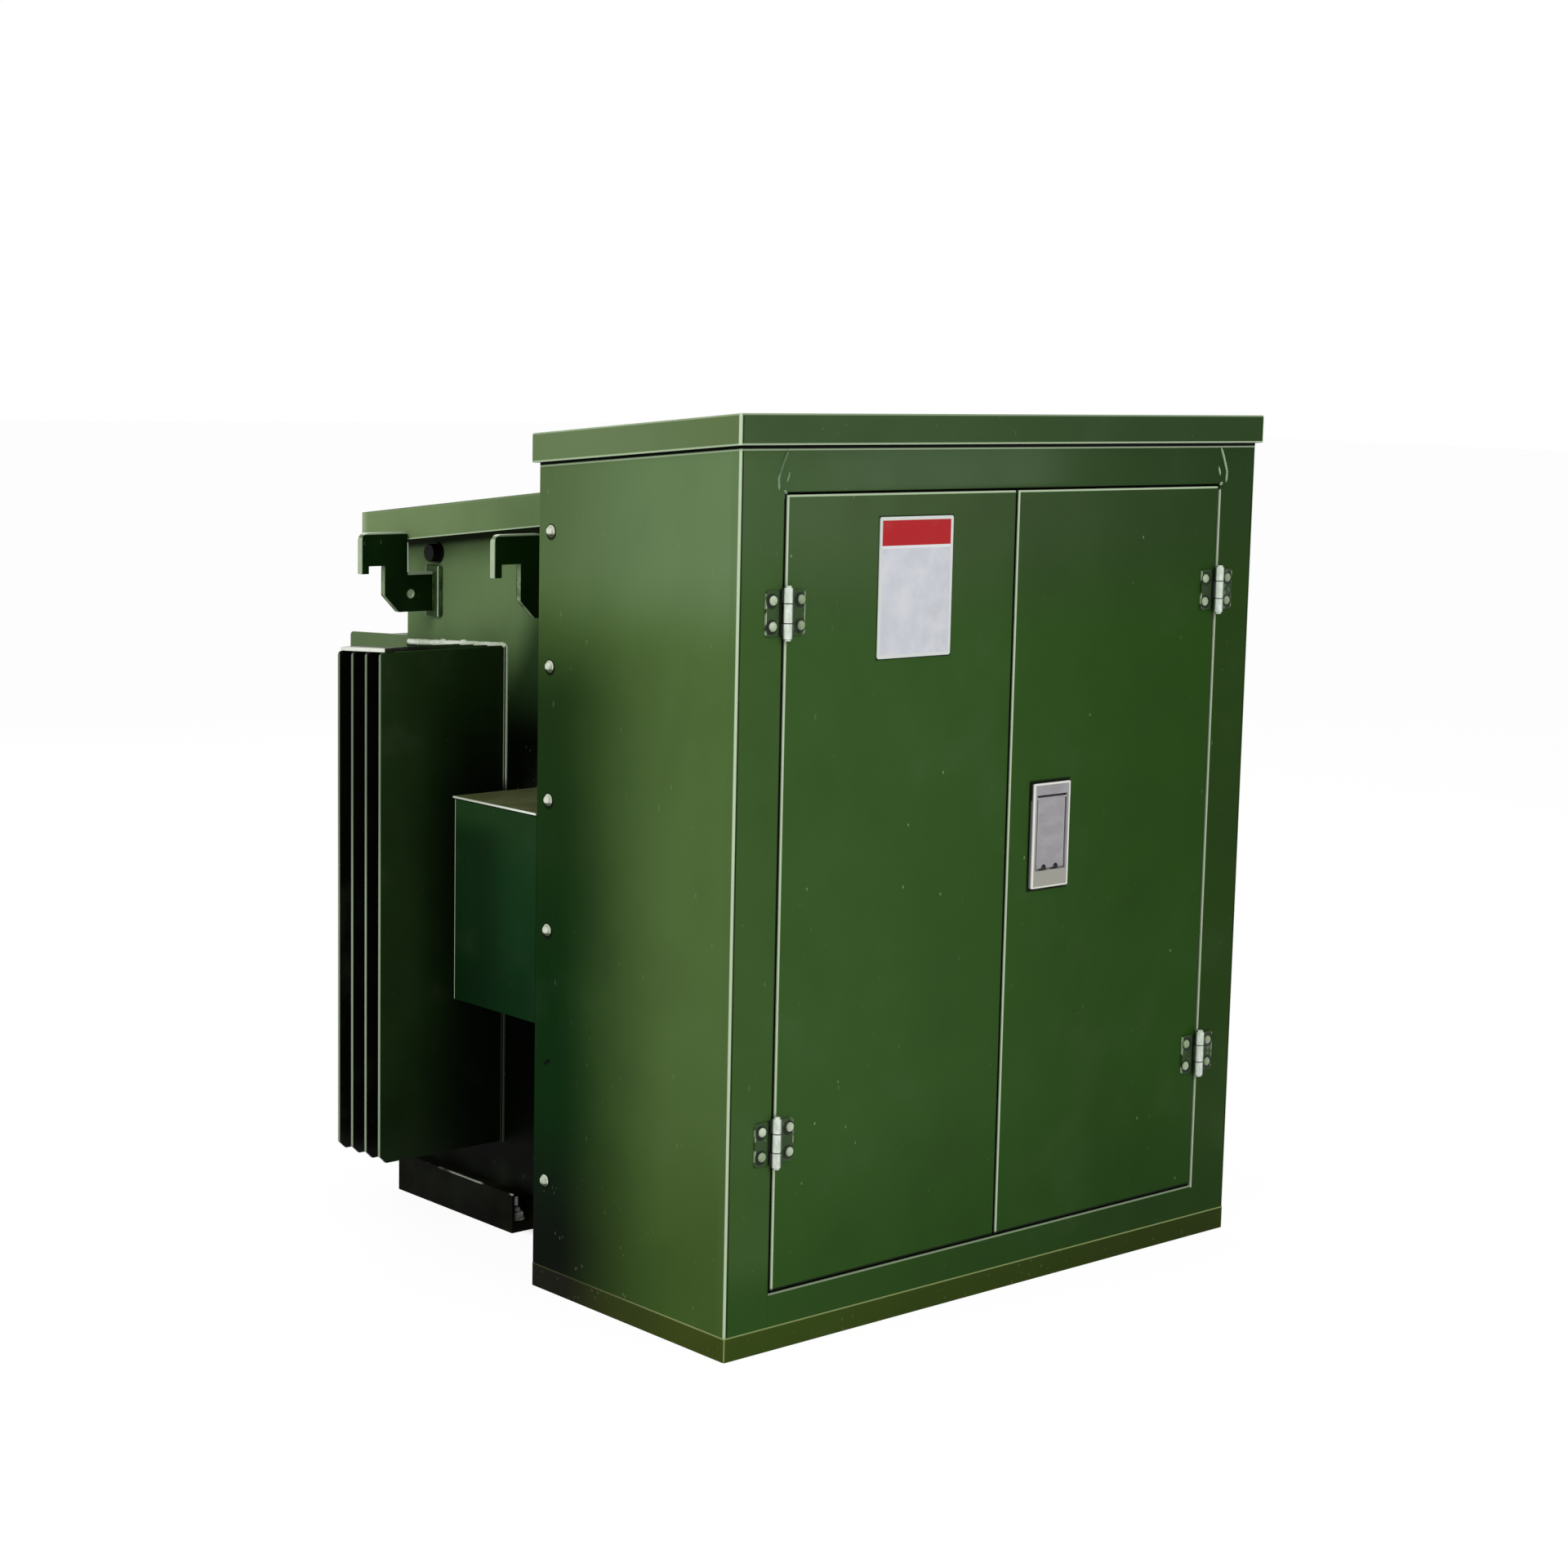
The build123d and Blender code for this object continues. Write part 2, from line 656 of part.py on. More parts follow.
# Lifting hooks: plates that stand out from the tank's sides, mouth down
def hook(y0, rise, stem_reach, mouth_z):
    """A hook on the right side, its outline drawn from the wall outwards."""
    wall = tank_half + PAD_T
    stem_in = tank_half + HOOK_STEM_IN
    stem_out = tank_half + stem_reach
    tip = tank_half + HOOK_REACH
    low = hook_z + rise
    points = [
        (wall, low),
        (stem_out - HOOK_CHAMFER, low),
        (stem_out, low + HOOK_CHAMFER),
        (stem_out, low + mouth_z),
        (tip - HOOK_LEG_W, low + mouth_z),
        (tip - HOOK_LEG_W, low + HOOK_LEG_Z),
        (tip, low + HOOK_LEG_Z),
        (tip, low + HOOK_TOP_H),
        (stem_in, low + HOOK_TOP_H),
        (stem_in, low + HOOK_FOOT_H),
        (wall, low + HOOK_FOOT_H),
    ]
    plate = extrude(Plane.XZ.offset(-y0) * make_face(Polyline(*points, close=True)), amount=-HOOK_T)
    head = plate.edges().filter_by(Axis.Y).group_by(Axis.Z)[-1].sort_by(Axis.X)[-1]
    plate = fillet(head, HOOK_HEAD_R)
    nape = plate.edges().filter_by(Axis.Y).group_by(Axis.Z)[-1].sort_by(Axis.X)[0]
    plate = fillet(nape, HOOK_NAPE_R)
    eye = Pos(tank_half + HOOK_EYE_OUT, y0 + HOOK_T / 2, low + HOOK_EYE_Z)
    return plate - eye * Rot(90, 0, 0) * Cylinder(HOOK_EYE_R, 2 * HOOK_T)


def hook_pad(y0, rise):
    """The pad between a hook and the tank's wall."""
    middle = y0 + HOOK_T / 2
    low = hook_z + rise - (PAD_H - HOOK_FOOT_H) / 2
    pad = block(tank_half, tank_half + PAD_T, middle - PAD_W / 2, middle + PAD_W / 2, low, low + PAD_H)
    return chamfer(pad.faces().sort_by(Axis.X)[-1].edges(), EDGE)


hook_places = [(cabinet_back + HOOK_FRONT_Y, HOOK_FRONT_RISE), (cabinet_back + HOOK_REAR_Y, 0)]
front_hook = hook(*hook_places[0], HOOK_FRONT_STEM_OUT, HOOK_FRONT_MOUTH_Z)
rear_hook = hook(*hook_places[1], HOOK_STEM_OUT, HOOK_MOUTH_Z)
hooks_right = [front_hook, rear_hook]
pads_right = [hook_pad(y, rise) for y, rise in hook_places]
node("lifting_hooks_right", *hooks_right)
node("lifting_hooks_left", *[other_side(piece) for piece in hooks_right])
node("hook_pads", *pads_right, *[other_side(piece) for piece in pads_right])

# Filling plug above the left rear hook
plug_x = -tank_half
plug_y = cabinet_back + PLUG_Y
plug_place = Pos(plug_x, plug_y, cover_z_front - PLUG_DROP) * Rot(0, -90, 0)
on_wall = (Align.CENTER, Align.CENTER, Align.MIN)
plug = Cylinder(PLUG_COLLAR_R, PLUG_COLLAR_T, align=on_wall) + Cylinder(PLUG_R, PLUG_L, align=on_wall)
node("filling_plug", plug_place * plug)

# Side boxes: closed boxes between the tank, the bulkhead and the fins
box_y1 = cabinet_back + SIDE_BOX_D
box_lid_z = cover_z_front - SIDE_BOX_DROP
side_box = block(-half_w, -tank_half, cabinet_back, box_y1, box_lid_z - SIDE_BOX_H, box_lid_z)
side_box = chamfer(side_box.edges().filter_by(Axis.Z).sort_by(Axis.Y)[-2:].sort_by(Axis.X)[:1], EDGE)
lid_x = -half_w - BOX_LID_LIP
lid_y1 = box_y1 + BOX_LID_LIP
lid = block(lid_x, -tank_half, cabinet_back, lid_y1, box_lid_z, box_lid_z + BOX_LID_T)
node("side_box_left", side_box)
node("side_box_right", other_side(side_box))
node("side_box_lids", lid, other_side(lid))

# Base frame: two channel rails, with cross members between them
rail_x0 = -tank_half - RAIL_OUT
rail_y0 = cabinet_back + RAIL_START
rail_y1 = tank_back - RAIL_END_GAP
base_rail = block(rail_x0, rail_x0 + RAIL_W, rail_y0, rail_y1, 0, RAIL_H)
base_rail -= block(
    rail_x0 + RAIL_WEB,
    rail_x0 + RAIL_W,
    rail_y0,
    rail_y1,
    RAIL_WEB,
    RAIL_H - RAIL_WEB,
)
anchor_x = rail_x0 + (RAIL_WEB + RAIL_W) / 2
anchor_hole = Pos(anchor_x, rail_y0 + LUG_L / 2, 0) * Cylinder(LUG_HOLE_R, RAIL_H)
base_rail -= anchor_hole
cross_half = tank_half + RAIL_OUT - RAIL_W
cross_front = block(-cross_half, cross_half, rail_y0, rail_y0 + CROSS_W, 0, RAIL_H)
cross_rear = block(-cross_half, cross_half, rail_y1 - CROSS_W, rail_y1, 0, RAIL_H)
node("base_rail_left", base_rail)
node("base_rail_right", other_side(base_rail))
node("base_cross_members", cross_front, cross_rear)

# Tie-down lugs: thick plates in the front ends of the rails, over an anchor hole
lug = block(rail_x0 + RAIL_WEB, rail_x0 + RAIL_W, rail_y0, rail_y0 + LUG_L, RAIL_WEB, RAIL_WEB + LUG_T)
lug -= anchor_hole
node("tie_down_lugs", lug, other_side(lug))

# Barrier: the upright sheet between the two halves of the cabinet
barrier = block(-SHEET / 2, SHEET / 2, front + BARRIER_Y0, bulkhead_y, BARRIER_Z0, HEIGHT)
node("compartment_barrier", barrier & under_roof)


# Bushings on the bulkhead, turned bodies that point to the doors
def turned(points):
    """A body turned about the Y axis; points are radius and distance from the wall."""
    outline = make_face(Polyline(*[(radius, out) for radius, out in points], close=True))
    return Rot(90, 0, 0) * revolve(Plane.XZ * outline, Axis.Z)


hv_body = turned(
    [
        (0, 0),
        (BUSHING_FLANGE_R, 0),
        (BUSHING_FLANGE_R, BUSHING_FLANGE_T),
        (HV_R, BUSHING_FLANGE_T),
        (HV_TIP_R, HV_LEN),
        (0, HV_LEN),
    ]
)
hv_z = HEIGHT - HV_DROP
hv_x = [HV_X + i * HV_SPACING for i in range(3)]
node("hv_bushings", *[Pos(x, bulkhead_y, hv_z) * hv_body for x in hv_x])
lv_body = turned(
    [
        (0, 0),
        (BUSHING_FLANGE_R, 0),
        (BUSHING_FLANGE_R, BUSHING_FLANGE_T),
        (LV_R, BUSHING_FLANGE_T),
        (LV_TIP_R, LV_LEN),
        (0, LV_LEN),
    ]
)
blade = block(-BLADE_T / 2, BLADE_T / 2, -LV_LEN - BLADE_L, -LV_LEN, -BLADE_H / 2, BLADE_H / 2)
lv_z = HEIGHT - LV_DROP
lv_places = [(LV_X + i * LV_SPACING, lv_z - (i % 2) * LV_STEP) for i in range(4)]
node("lv_bushings", *[Pos(x, bulkhead_y, z) * lv_body for x, z in lv_places])
node("lv_terminals", *[Pos(x, bulkhead_y, z) * blade for x, z in lv_places])

# Ground pads: blocks welded low on the bulkhead, one in each half
pad_x = half_opening / 2
ground_pad = block(
    pad_x - GROUND_PAD / 2,
    pad_x + GROUND_PAD / 2,
    bulkhead_y - GROUND_PAD_T,
    bulkhead_y,
    GROUND_PAD_Z,
    GROUND_PAD_Z + GROUND_PAD,
)
node("ground_pads", ground_pad, other_side(ground_pad))
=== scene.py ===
import math
import random

import bmesh
import bpy
from mathutils import Matrix, Vector


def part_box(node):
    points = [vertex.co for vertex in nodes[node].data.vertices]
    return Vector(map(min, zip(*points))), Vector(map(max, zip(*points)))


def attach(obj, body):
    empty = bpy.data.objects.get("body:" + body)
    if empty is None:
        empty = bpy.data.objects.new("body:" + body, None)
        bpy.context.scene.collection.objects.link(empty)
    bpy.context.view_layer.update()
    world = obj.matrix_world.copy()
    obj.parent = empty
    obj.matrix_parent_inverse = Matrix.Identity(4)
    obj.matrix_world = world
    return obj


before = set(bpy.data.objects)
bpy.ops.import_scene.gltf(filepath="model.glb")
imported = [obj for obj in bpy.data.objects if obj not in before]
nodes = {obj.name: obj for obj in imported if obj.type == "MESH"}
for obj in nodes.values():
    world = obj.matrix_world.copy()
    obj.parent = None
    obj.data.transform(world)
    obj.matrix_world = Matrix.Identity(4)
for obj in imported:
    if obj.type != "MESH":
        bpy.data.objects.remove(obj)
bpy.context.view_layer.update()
strip_low, strip_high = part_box("base_strip_front")
front = strip_low.y
half_w = strip_high.x


# Camera: it stands a little above eye height before the cabinet's left front
# corner, about five and a half metres away, and looks slightly down.
CAMERA_FROM_SIDE = -3.6234
CAMERA_FROM_FRONT = -4.2047
CAMERA_HEIGHT = 1.9575
CAMERA_TURN = math.radians(41.724)
CAMERA_TILT = math.radians(8.274)
CAMERA_ROLL = math.radians(1.239)
CAMERA_LENS_MM = 67.63
CAMERA_SENSOR_MM = 36
forward = Vector(
    (
        math.sin(CAMERA_TURN) * math.cos(CAMERA_TILT),
        math.cos(CAMERA_TURN) * math.cos(CAMERA_TILT),
        -math.sin(CAMERA_TILT),
    )
)
level = Vector((math.cos(CAMERA_TURN), -math.sin(CAMERA_TURN), 0))
plumb = level.cross(forward)
right = math.cos(CAMERA_ROLL) * level + math.sin(CAMERA_ROLL) * plumb
above = math.cos(CAMERA_ROLL) * plumb - math.sin(CAMERA_ROLL) * level
camera_data = bpy.data.cameras.new("camera")
camera_data.lens = CAMERA_LENS_MM
camera_data.sensor_width = CAMERA_SENSOR_MM
camera = bpy.data.objects.new("camera", camera_data)
camera_place = Vector((CAMERA_FROM_SIDE - half_w, CAMERA_FROM_FRONT + front, CAMERA_HEIGHT))
camera_axes = Matrix((right, above, -forward)).transposed()
camera.matrix_world = Matrix.Translation(camera_place) @ camera_axes.to_4x4()
bpy.context.collection.objects.link(camera)
bpy.context.scene.camera = camera
bpy.context.scene.view_settings.view_transform = "Standard"


# Lamps: one broad soft box high on the left, one in front and one behind. An
# even sky adds the rest of the light.
def lamp(name, place, aim, size, power):
    """A square soft box that looks at a point."""
    data = bpy.data.lights.new(name, "AREA")
    data.size = size
    data.energy = power
    box = bpy.data.objects.new(name, data)
    box.location = place
    box.rotation_euler = (Vector(aim) - Vector(place)).to_track_quat("-Z", "Y").to_euler()
    bpy.context.collection.objects.link(box)


lamp("lamp_left", place=(-5.5, -1.2, 4.6), aim=(0, -0.2, 0.9), size=3.0, power=170)
lamp("lamp_front", place=(0.5, -6.5, 4.2), aim=(0, -0.2, 0.8), size=3.5, power=150)
lamp("lamp_rear", place=(2.5, 6.0, 4.5), aim=(0, 0.2, 0.8), size=3.5, power=150)


# Sky and floor: an even sky that shows white, and a white floor that keeps the
# object's soft shadow and stays dark under the tank.
FLOOR_HALF = 60
FLOOR_DROP = 0.0005
FLOOR_GLOW = 1.06
FLOOR_GLOW_SHARE = 0.88
UNDER_TANK_SHARE = 0.80
SKY_STRENGTH = 0.50


class Shade:
    """A shader socket. Arithmetic on it adds Math nodes, and node() adds any other kind."""

    def __init__(self, tree, socket=None):
        self.tree = tree
        self.socket = socket

    def node(self, kind, settings=None, inputs=None, output=0):
        """Add a node: its type, its settings, then the values or links of its sockets."""
        made = self.tree.nodes.new("ShaderNode" + kind)
        for name, value in (settings or {}).items():
            setattr(made, name, value)
        for key, value in (inputs or {}).items():
            if isinstance(value, Shade):
                self.tree.links.new(value.socket, made.inputs[key])
            else:
                made.inputs[key].default_value = value
        return Shade(self.tree, made.outputs[output])

    def maths(self, operation, *values):
        return self.node("Math", {"operation": operation}, dict(enumerate(values)))

    def __add__(self, other):
        return self.maths("ADD", self, other)

    __radd__ = __add__

    def __sub__(self, other):
        return self.maths("SUBTRACT", self, other)

    def __rsub__(self, other):
        return self.maths("SUBTRACT", other, self)

    def __mul__(self, other):
        return self.maths("MULTIPLY", self, other)

    __rmul__ = __mul__

    def __abs__(self):
        return self.maths("ABSOLUTE", self)

    def most(self, other):
        return self.maths("MAXIMUM", self, other)

    def least(self, other):
        return self.maths("MINIMUM", self, other)

    def ease(self, start, end):
        """0 up to start, 1 from end on, smooth between them."""
        settings = {"interpolation_type": "SMOOTHSTEP"}
        if start > end:
            inputs = {"Value": self, "From Min": end, "From Max": start, "To Min": 1.0, "To Max": 0.0}
        else:
            inputs = {"Value": self, "From Min": start, "From Max": end}
        return self.node("MapRange", settings, inputs)

    def near(self, middle, reach):
        """1 at a value, falling to 0 at a distance from it."""
        return abs(self - middle).ease(reach, reach * 0.5)

    def blend(self, first, second):
        """A colour: the first where this is 0 and the second where it is 1."""
        return self.node("Mix", {"data_type": "RGBA"}, {0: self, 6: first, 7: second}, 2)

    def noise(self, scale, detail=3.0, roughness=0.5, stretch=(1, 1, 1)):
        """Cloud noise at a scale, in coordinates that may be stretched."""
        mapped = self.node("Mapping", {}, {"Vector": self, "Scale": stretch})
        inputs = {"Vector": mapped, "Scale": scale, "Detail": detail, "Roughness": roughness}
        return self.node("TexNoise", {}, inputs)

    def specks(self, size, length, share, radius, turn):
        """Scattered marks: their pitch across and along, how many cells have one, and their radius."""
        stretch = (1 / size, 1 / size, 1 / length)
        turned = (turn, turn * 0.7, 0)
        mapped = self.node("Mapping", {}, {"Vector": self, "Scale": stretch, "Rotation": turned})
        inputs = {"Vector": mapped, "Scale": 1.0}
        cell = self.node("TexVoronoi", {}, inputs, "Distance")
        chance = self.node("TexVoronoi", {}, inputs, "Color")
        red = self.node("SeparateColor", {}, {"Color": chance})
        return cell.ease(radius, radius * 0.5) * red.ease(1 - share - 0.01, 1 - share + 0.01)


def colour(red, green, blue):
    """A colour written as it shows on a screen, 0 to 255, as Blender's linear one."""
    linear = []
    for value in (red, green, blue):
        share = value / 255
        linear.append(share / 12.92 if share <= 0.04045 else ((share + 0.055) / 1.055) ** 2.4)
    return (*linear, 1.0)


def new_material(name):
    """An empty material, its node tree and its output."""
    made = bpy.data.materials.new(name)
    made.use_nodes = True
    made.node_tree.nodes.clear()
    end = made.node_tree.nodes.new("ShaderNodeOutputMaterial")
    return made, Shade(made.node_tree), end


def background_rays(surface):
    """1 for the rays that see the background: from the camera, or by way of metal and glass."""
    straight = surface.node("LightPath", {}, {}, "Is Camera Ray")
    mirrored = surface.node("LightPath", {}, {}, "Is Glossy Ray")
    through = surface.node("LightPath", {}, {}, "Is Transmission Ray")
    return straight.most(mirrored).most(through)


def coordinates(surface):
    """The place on a piece in metres, and its x, y and z."""
    place = surface.node("TexCoord", {}, {}, "Object")
    parts = [surface.node("SeparateXYZ", {}, {"Vector": place}, axis) for axis in "XYZ"]
    return place, *parts


world = bpy.data.worlds.new("sky")
bpy.context.scene.world = world
world.use_nodes = True
world.node_tree.nodes.clear()
sky = Shade(world.node_tree)
sky_colour = background_rays(sky).blend((SKY_STRENGTH, SKY_STRENGTH, SKY_STRENGTH, 1), (1, 1, 1, 1))
sky_end = world.node_tree.nodes.new("ShaderNodeOutputWorld")
sky_light = sky.node("Background", {}, {"Color": sky_colour, "Strength": 1.0})
world.node_tree.links.new(sky_light.socket, sky_end.inputs["Surface"])

floor_mesh = bpy.data.meshes.new("floor")
floor_corners = [
    (-FLOOR_HALF, -FLOOR_HALF, -FLOOR_DROP),
    (FLOOR_HALF, -FLOOR_HALF, -FLOOR_DROP),
    (FLOOR_HALF, FLOOR_HALF, -FLOOR_DROP),
    (-FLOOR_HALF, FLOOR_HALF, -FLOOR_DROP),
]
floor_mesh.from_pydata(floor_corners, [], [(0, 1, 2, 3)])
floor = bpy.data.objects.new("floor", floor_mesh)
bpy.context.collection.objects.link(floor)
floor_paint, floor_surface, floor_end = new_material("pale_floor")
floor_card = floor_surface.node("BsdfDiffuse", {}, {"Color": (0.8, 0.8, 0.8, 1)})
floor_glow = floor_surface.node("Emission", {}, {"Color": (1, 1, 1, 1), "Strength": FLOOR_GLOW})
floor_x, floor_y = coordinates(floor_surface)[1:3]
tank_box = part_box("tank_body")
under_tank = abs(floor_x).ease(tank_box[1].x + 0.02, tank_box[1].x - 0.06)
under_tank = under_tank * floor_y.ease(tank_box[0].y, tank_box[0].y + 0.3)
under_tank = under_tank * floor_y.ease(tank_box[1].y, tank_box[1].y - 0.1)
floor_share = background_rays(floor_surface) * (FLOOR_GLOW_SHARE - under_tank * UNDER_TANK_SHARE)
floor_mix = floor_surface.node("MixShader", {}, {0: floor_share, 1: floor_card, 2: floor_glow})
floor_paint.node_tree.links.new(floor_mix.socket, floor_end.inputs["Surface"])
floor_mesh.materials.append(floor_paint)


# Roof: a cap folded from 3 mm sheet steel and sprayed with green enamel. Its
# lower hem and its bends carry painted highlights, and its sides are painted lighter as lit faces.
# Pale wear that also serves as painted highlight, and dark grime that also serves as painted shade.
WEAR_AND_HIGHLIGHT = colour(186, 204, 172)
GRIME_AND_SHADE = colour(4, 7, 3)


def enamel(name, tones, marks=None, rough=0.46, specular=0.05, dust=0.4, cloud=0.10):
    """Sprayed enamel: tones(x, y, z, place) gives its colour, which goes cloudy and gets scuffs and dust.

    marks(x, y, z, place) gives (mask, colour) pairs that go over it in turn.
    """
    made, surface, end = new_material(name)
    place, x, y, z = coordinates(surface)
    paint = tones(x, y, z, place)
    clouds = place.noise(1.7, 4.0, 0.55) * 0.6 + place.noise(7.0, 5.0, 0.6) * 0.4
    darker = clouds.ease(0.52, 0.34) * cloud
    lighter = clouds.ease(0.50, 0.72) * cloud * 0.20
    paint = darker.blend(paint, GRIME_AND_SHADE)
    paint = lighter.blend(paint, WEAR_AND_HIGHLIGHT)
    grime = place.noise(3.1, 6.0, 0.65, (1, 1, 0.35)).ease(0.54, 0.76) * cloud
    paint = grime.blend(paint, GRIME_AND_SHADE)
    scuffs = place.specks(0.020, 0.045, 0.10, 0.16, 0.5) * place.noise(2.2, 2.0).ease(0.42, 0.62)
    flecks = place.specks(0.011, 0.016, 0.018, 0.20, 1.1)
    paint = ((scuffs * 0.22 + flecks * 0.20) * dust).least(1.0).blend(paint, WEAR_AND_HIGHLIGHT)
    for mask, over in marks(x, y, z, place) if marks else []:
        paint = mask.blend(paint, over)
    shine = rough + (place.noise(14.0, 5.0, 0.6) - 0.5) * 0.22 + scuffs * 0.2
    peel = place.noise(420.0, 2.0) * 0.25 + place.noise(28.0, 3.0) * 0.75
    relief = surface.node("Bump", {}, {"Strength": 0.10, "Distance": 0.0012, "Height": peel})
    shader = surface.node(
        "BsdfPrincipled",
        {},
        {"Base Color": paint, "Roughness": shine, "Normal": relief, "Specular IOR Level": specular},
    )
    made.node_tree.links.new(shader.socket, end.inputs["Surface"])
    return made


def wear(material, *names):
    """Give CAD nodes a material."""
    for name in names:
        mesh = nodes[name].data
        mesh.materials.clear()
        mesh.materials.append(material)


roof_low, roof_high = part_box("roof")
ROOF_FALL = math.tan(math.radians(5.2))
ROOF_SKIRT = 0.060
roof_side = -roof_low.x


def under_roof_edge(y, z):
    """How far a place lies under the lower edge of the roof's skirt."""
    return (roof_high.z - ROOF_SKIRT - (y - roof_low.y) * ROOF_FALL) - z


def front_tone(x, left, right):
    """Front faces are a shade yellower, and darker towards the right with painted shade."""
    return x.ease(-0.75, 0.70).blend(left, right)


def roof_tones(x, y, z, place):
    """Painted light and shade: the face, the sides and the top have a shade each."""
    face = front_tone(x, colour(62, 85, 51), colour(42, 65, 31))
    side = y.ease(front, front + 0.30).blend(colour(92, 112, 70), colour(98, 119, 79))
    top = place.noise(2.6, 5.0, 0.6).ease(0.35, 0.7).blend(colour(84, 106, 66), colour(104, 124, 86))
    paint = y.ease(roof_low.y + 0.002, roof_low.y + 0.006).blend(face, top)
    return abs(x).ease(roof_side - 0.006, roof_side - 0.002).blend(paint, side)


def roof_marks(x, y, z, place):
    """Painted highlights on the hem and the bends of the cap, a painted shade line beside its corner, and
    scratches.
    """
    rise = under_roof_edge(y, z) * -1
    hem = rise.near(0.0015, 0.003) * 0.7
    crown = rise.near(ROOF_SKIRT - 0.001, 0.0030) * 0.45
    corner = abs(x).near(roof_side - 0.0015, 0.0042) * y.near(roof_low.y + 0.0015, 0.0042)
    beside = abs(x).near(roof_side - 0.0075, 0.0022) * y.ease(roof_low.y + 0.003, roof_low.y + 0.001) * 0.6
    scratch = place.specks(0.014, 0.090, 0.05, 0.10, 1.3) * 0.3
    return [(scratch, WEAR_AND_HIGHLIGHT), (beside, GRIME_AND_SHADE), ((hem + crown + corner).least(1.0), WEAR_AND_HIGHLIGHT)]


wear(enamel("roof_enamel", roof_tones, roof_marks), "roof")


# Side panels: flat sheets, painted light high up and towards the front, and painted
# shade at the rear and the foot. Domed bolts hold them to the bulkhead.
cabinet_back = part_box("bulkhead")[1].y
SIDE_BOLT_Z = (1.595, 1.319, 1.043, 0.771, 0.237)
SIDE_BOLT_FROM_BACK = 0.040
SIDE_BOLT_RING = (0.0185, 0.0150)
SIDE_CREST = (1.36, 1.56)
SIDE_FOOT = (0.65, 0.10)
SCRATCH_SLOPE = 0.6
SCRATCH_HEIGHT = 0.466
SCRATCH_FROM_BACK = 0.043


def side_tones(x, y, z, place):
    """Painted light high up, and painted shade towards the rear and the foot."""
    along = y - front
    crest = along.ease(0.20, 0.60).blend(colour(99, 124, 82), colour(84, 106, 66))
    paint = z.ease(*SIDE_CREST).blend(colour(78, 104, 54), crest)
    paint = z.ease(*SIDE_FOOT).blend(paint, colour(64, 90, 38))
    waver = (place.noise(3.0, 3.0) - 0.5) * 0.10
    rear = (along + waver).ease(0.14, 0.56) * (z + waver).ease(1.50, 1.24)
    depth = z.ease(1.30, 0.60).blend(colour(27, 51, 16), colour(5, 40, 6))
    depth = z.ease(0.46, 0.10).blend(depth, colour(2, 9, 1))
    return rear.blend(paint, depth)


def any_of(masks):
    """One mask out of several, at each place as strong as the strongest of them."""
    joined = masks[0]
    for mask in masks[1:]:
        joined = joined.most(mask)
    return joined


def disc(across, up, outer, inner):
    """A round mark: 0 outside its outer radius and 1 inside its inner one."""
    return (across * across + up * up).ease(outer * outer, inner * inner)


def skirt_lines(y, z, reach):
    """The painted shadow under the roof's skirt, and a pale line below it."""
    under = under_roof_edge(y, z)
    return [(under.near(0.0075, 0.0022) * 0.6, WEAR_AND_HIGHLIGHT), (under.near(0.0022, reach), GRIME_AND_SHADE)]


def side_marks(x, y, z, place):
    """Soil at the foot, a painted shadow round each bolt, a scratch, and the painted shadow under the roof.
    """
    low = z.ease(0.34, 0.06) * place.specks(0.011, 0.020, 0.14, 0.22, 0.3) * 0.16
    bolt_y = y - (cabinet_back - SIDE_BOLT_FROM_BACK)
    rings = [disc(bolt_y, z - (height - 0.002), *SIDE_BOLT_RING) for height in SIDE_BOLT_Z]
    slant = y * SCRATCH_SLOPE + z
    scratch = slant.near(cabinet_back * SCRATCH_SLOPE + SCRATCH_HEIGHT, 0.0055)
    scratch = scratch * y.near(cabinet_back - SCRATCH_FROM_BACK, 0.013)
    return [(low, WEAR_AND_HIGHLIGHT), (any_of(rings) * 0.85, GRIME_AND_SHADE), (scratch, GRIME_AND_SHADE), *skirt_lines(y, z, 0.0040)]


side_enamel = enamel("side_enamel", side_tones, side_marks, specular=0.02)
wear(side_enamel, "side_panel_left", "side_panel_right")


# Side bolts: domed steel heads with a collar, plated with zinc. Five of them
# screw each side panel to the bulkhead's flange.
bolt_dome = [
    (0.0125, 0.0), (0.0125, 0.0012), (0.0098, 0.0016), (0.0096, 0.0040),
    (0.0084, 0.0064), (0.0058, 0.0080), (0.0028, 0.0087),
]


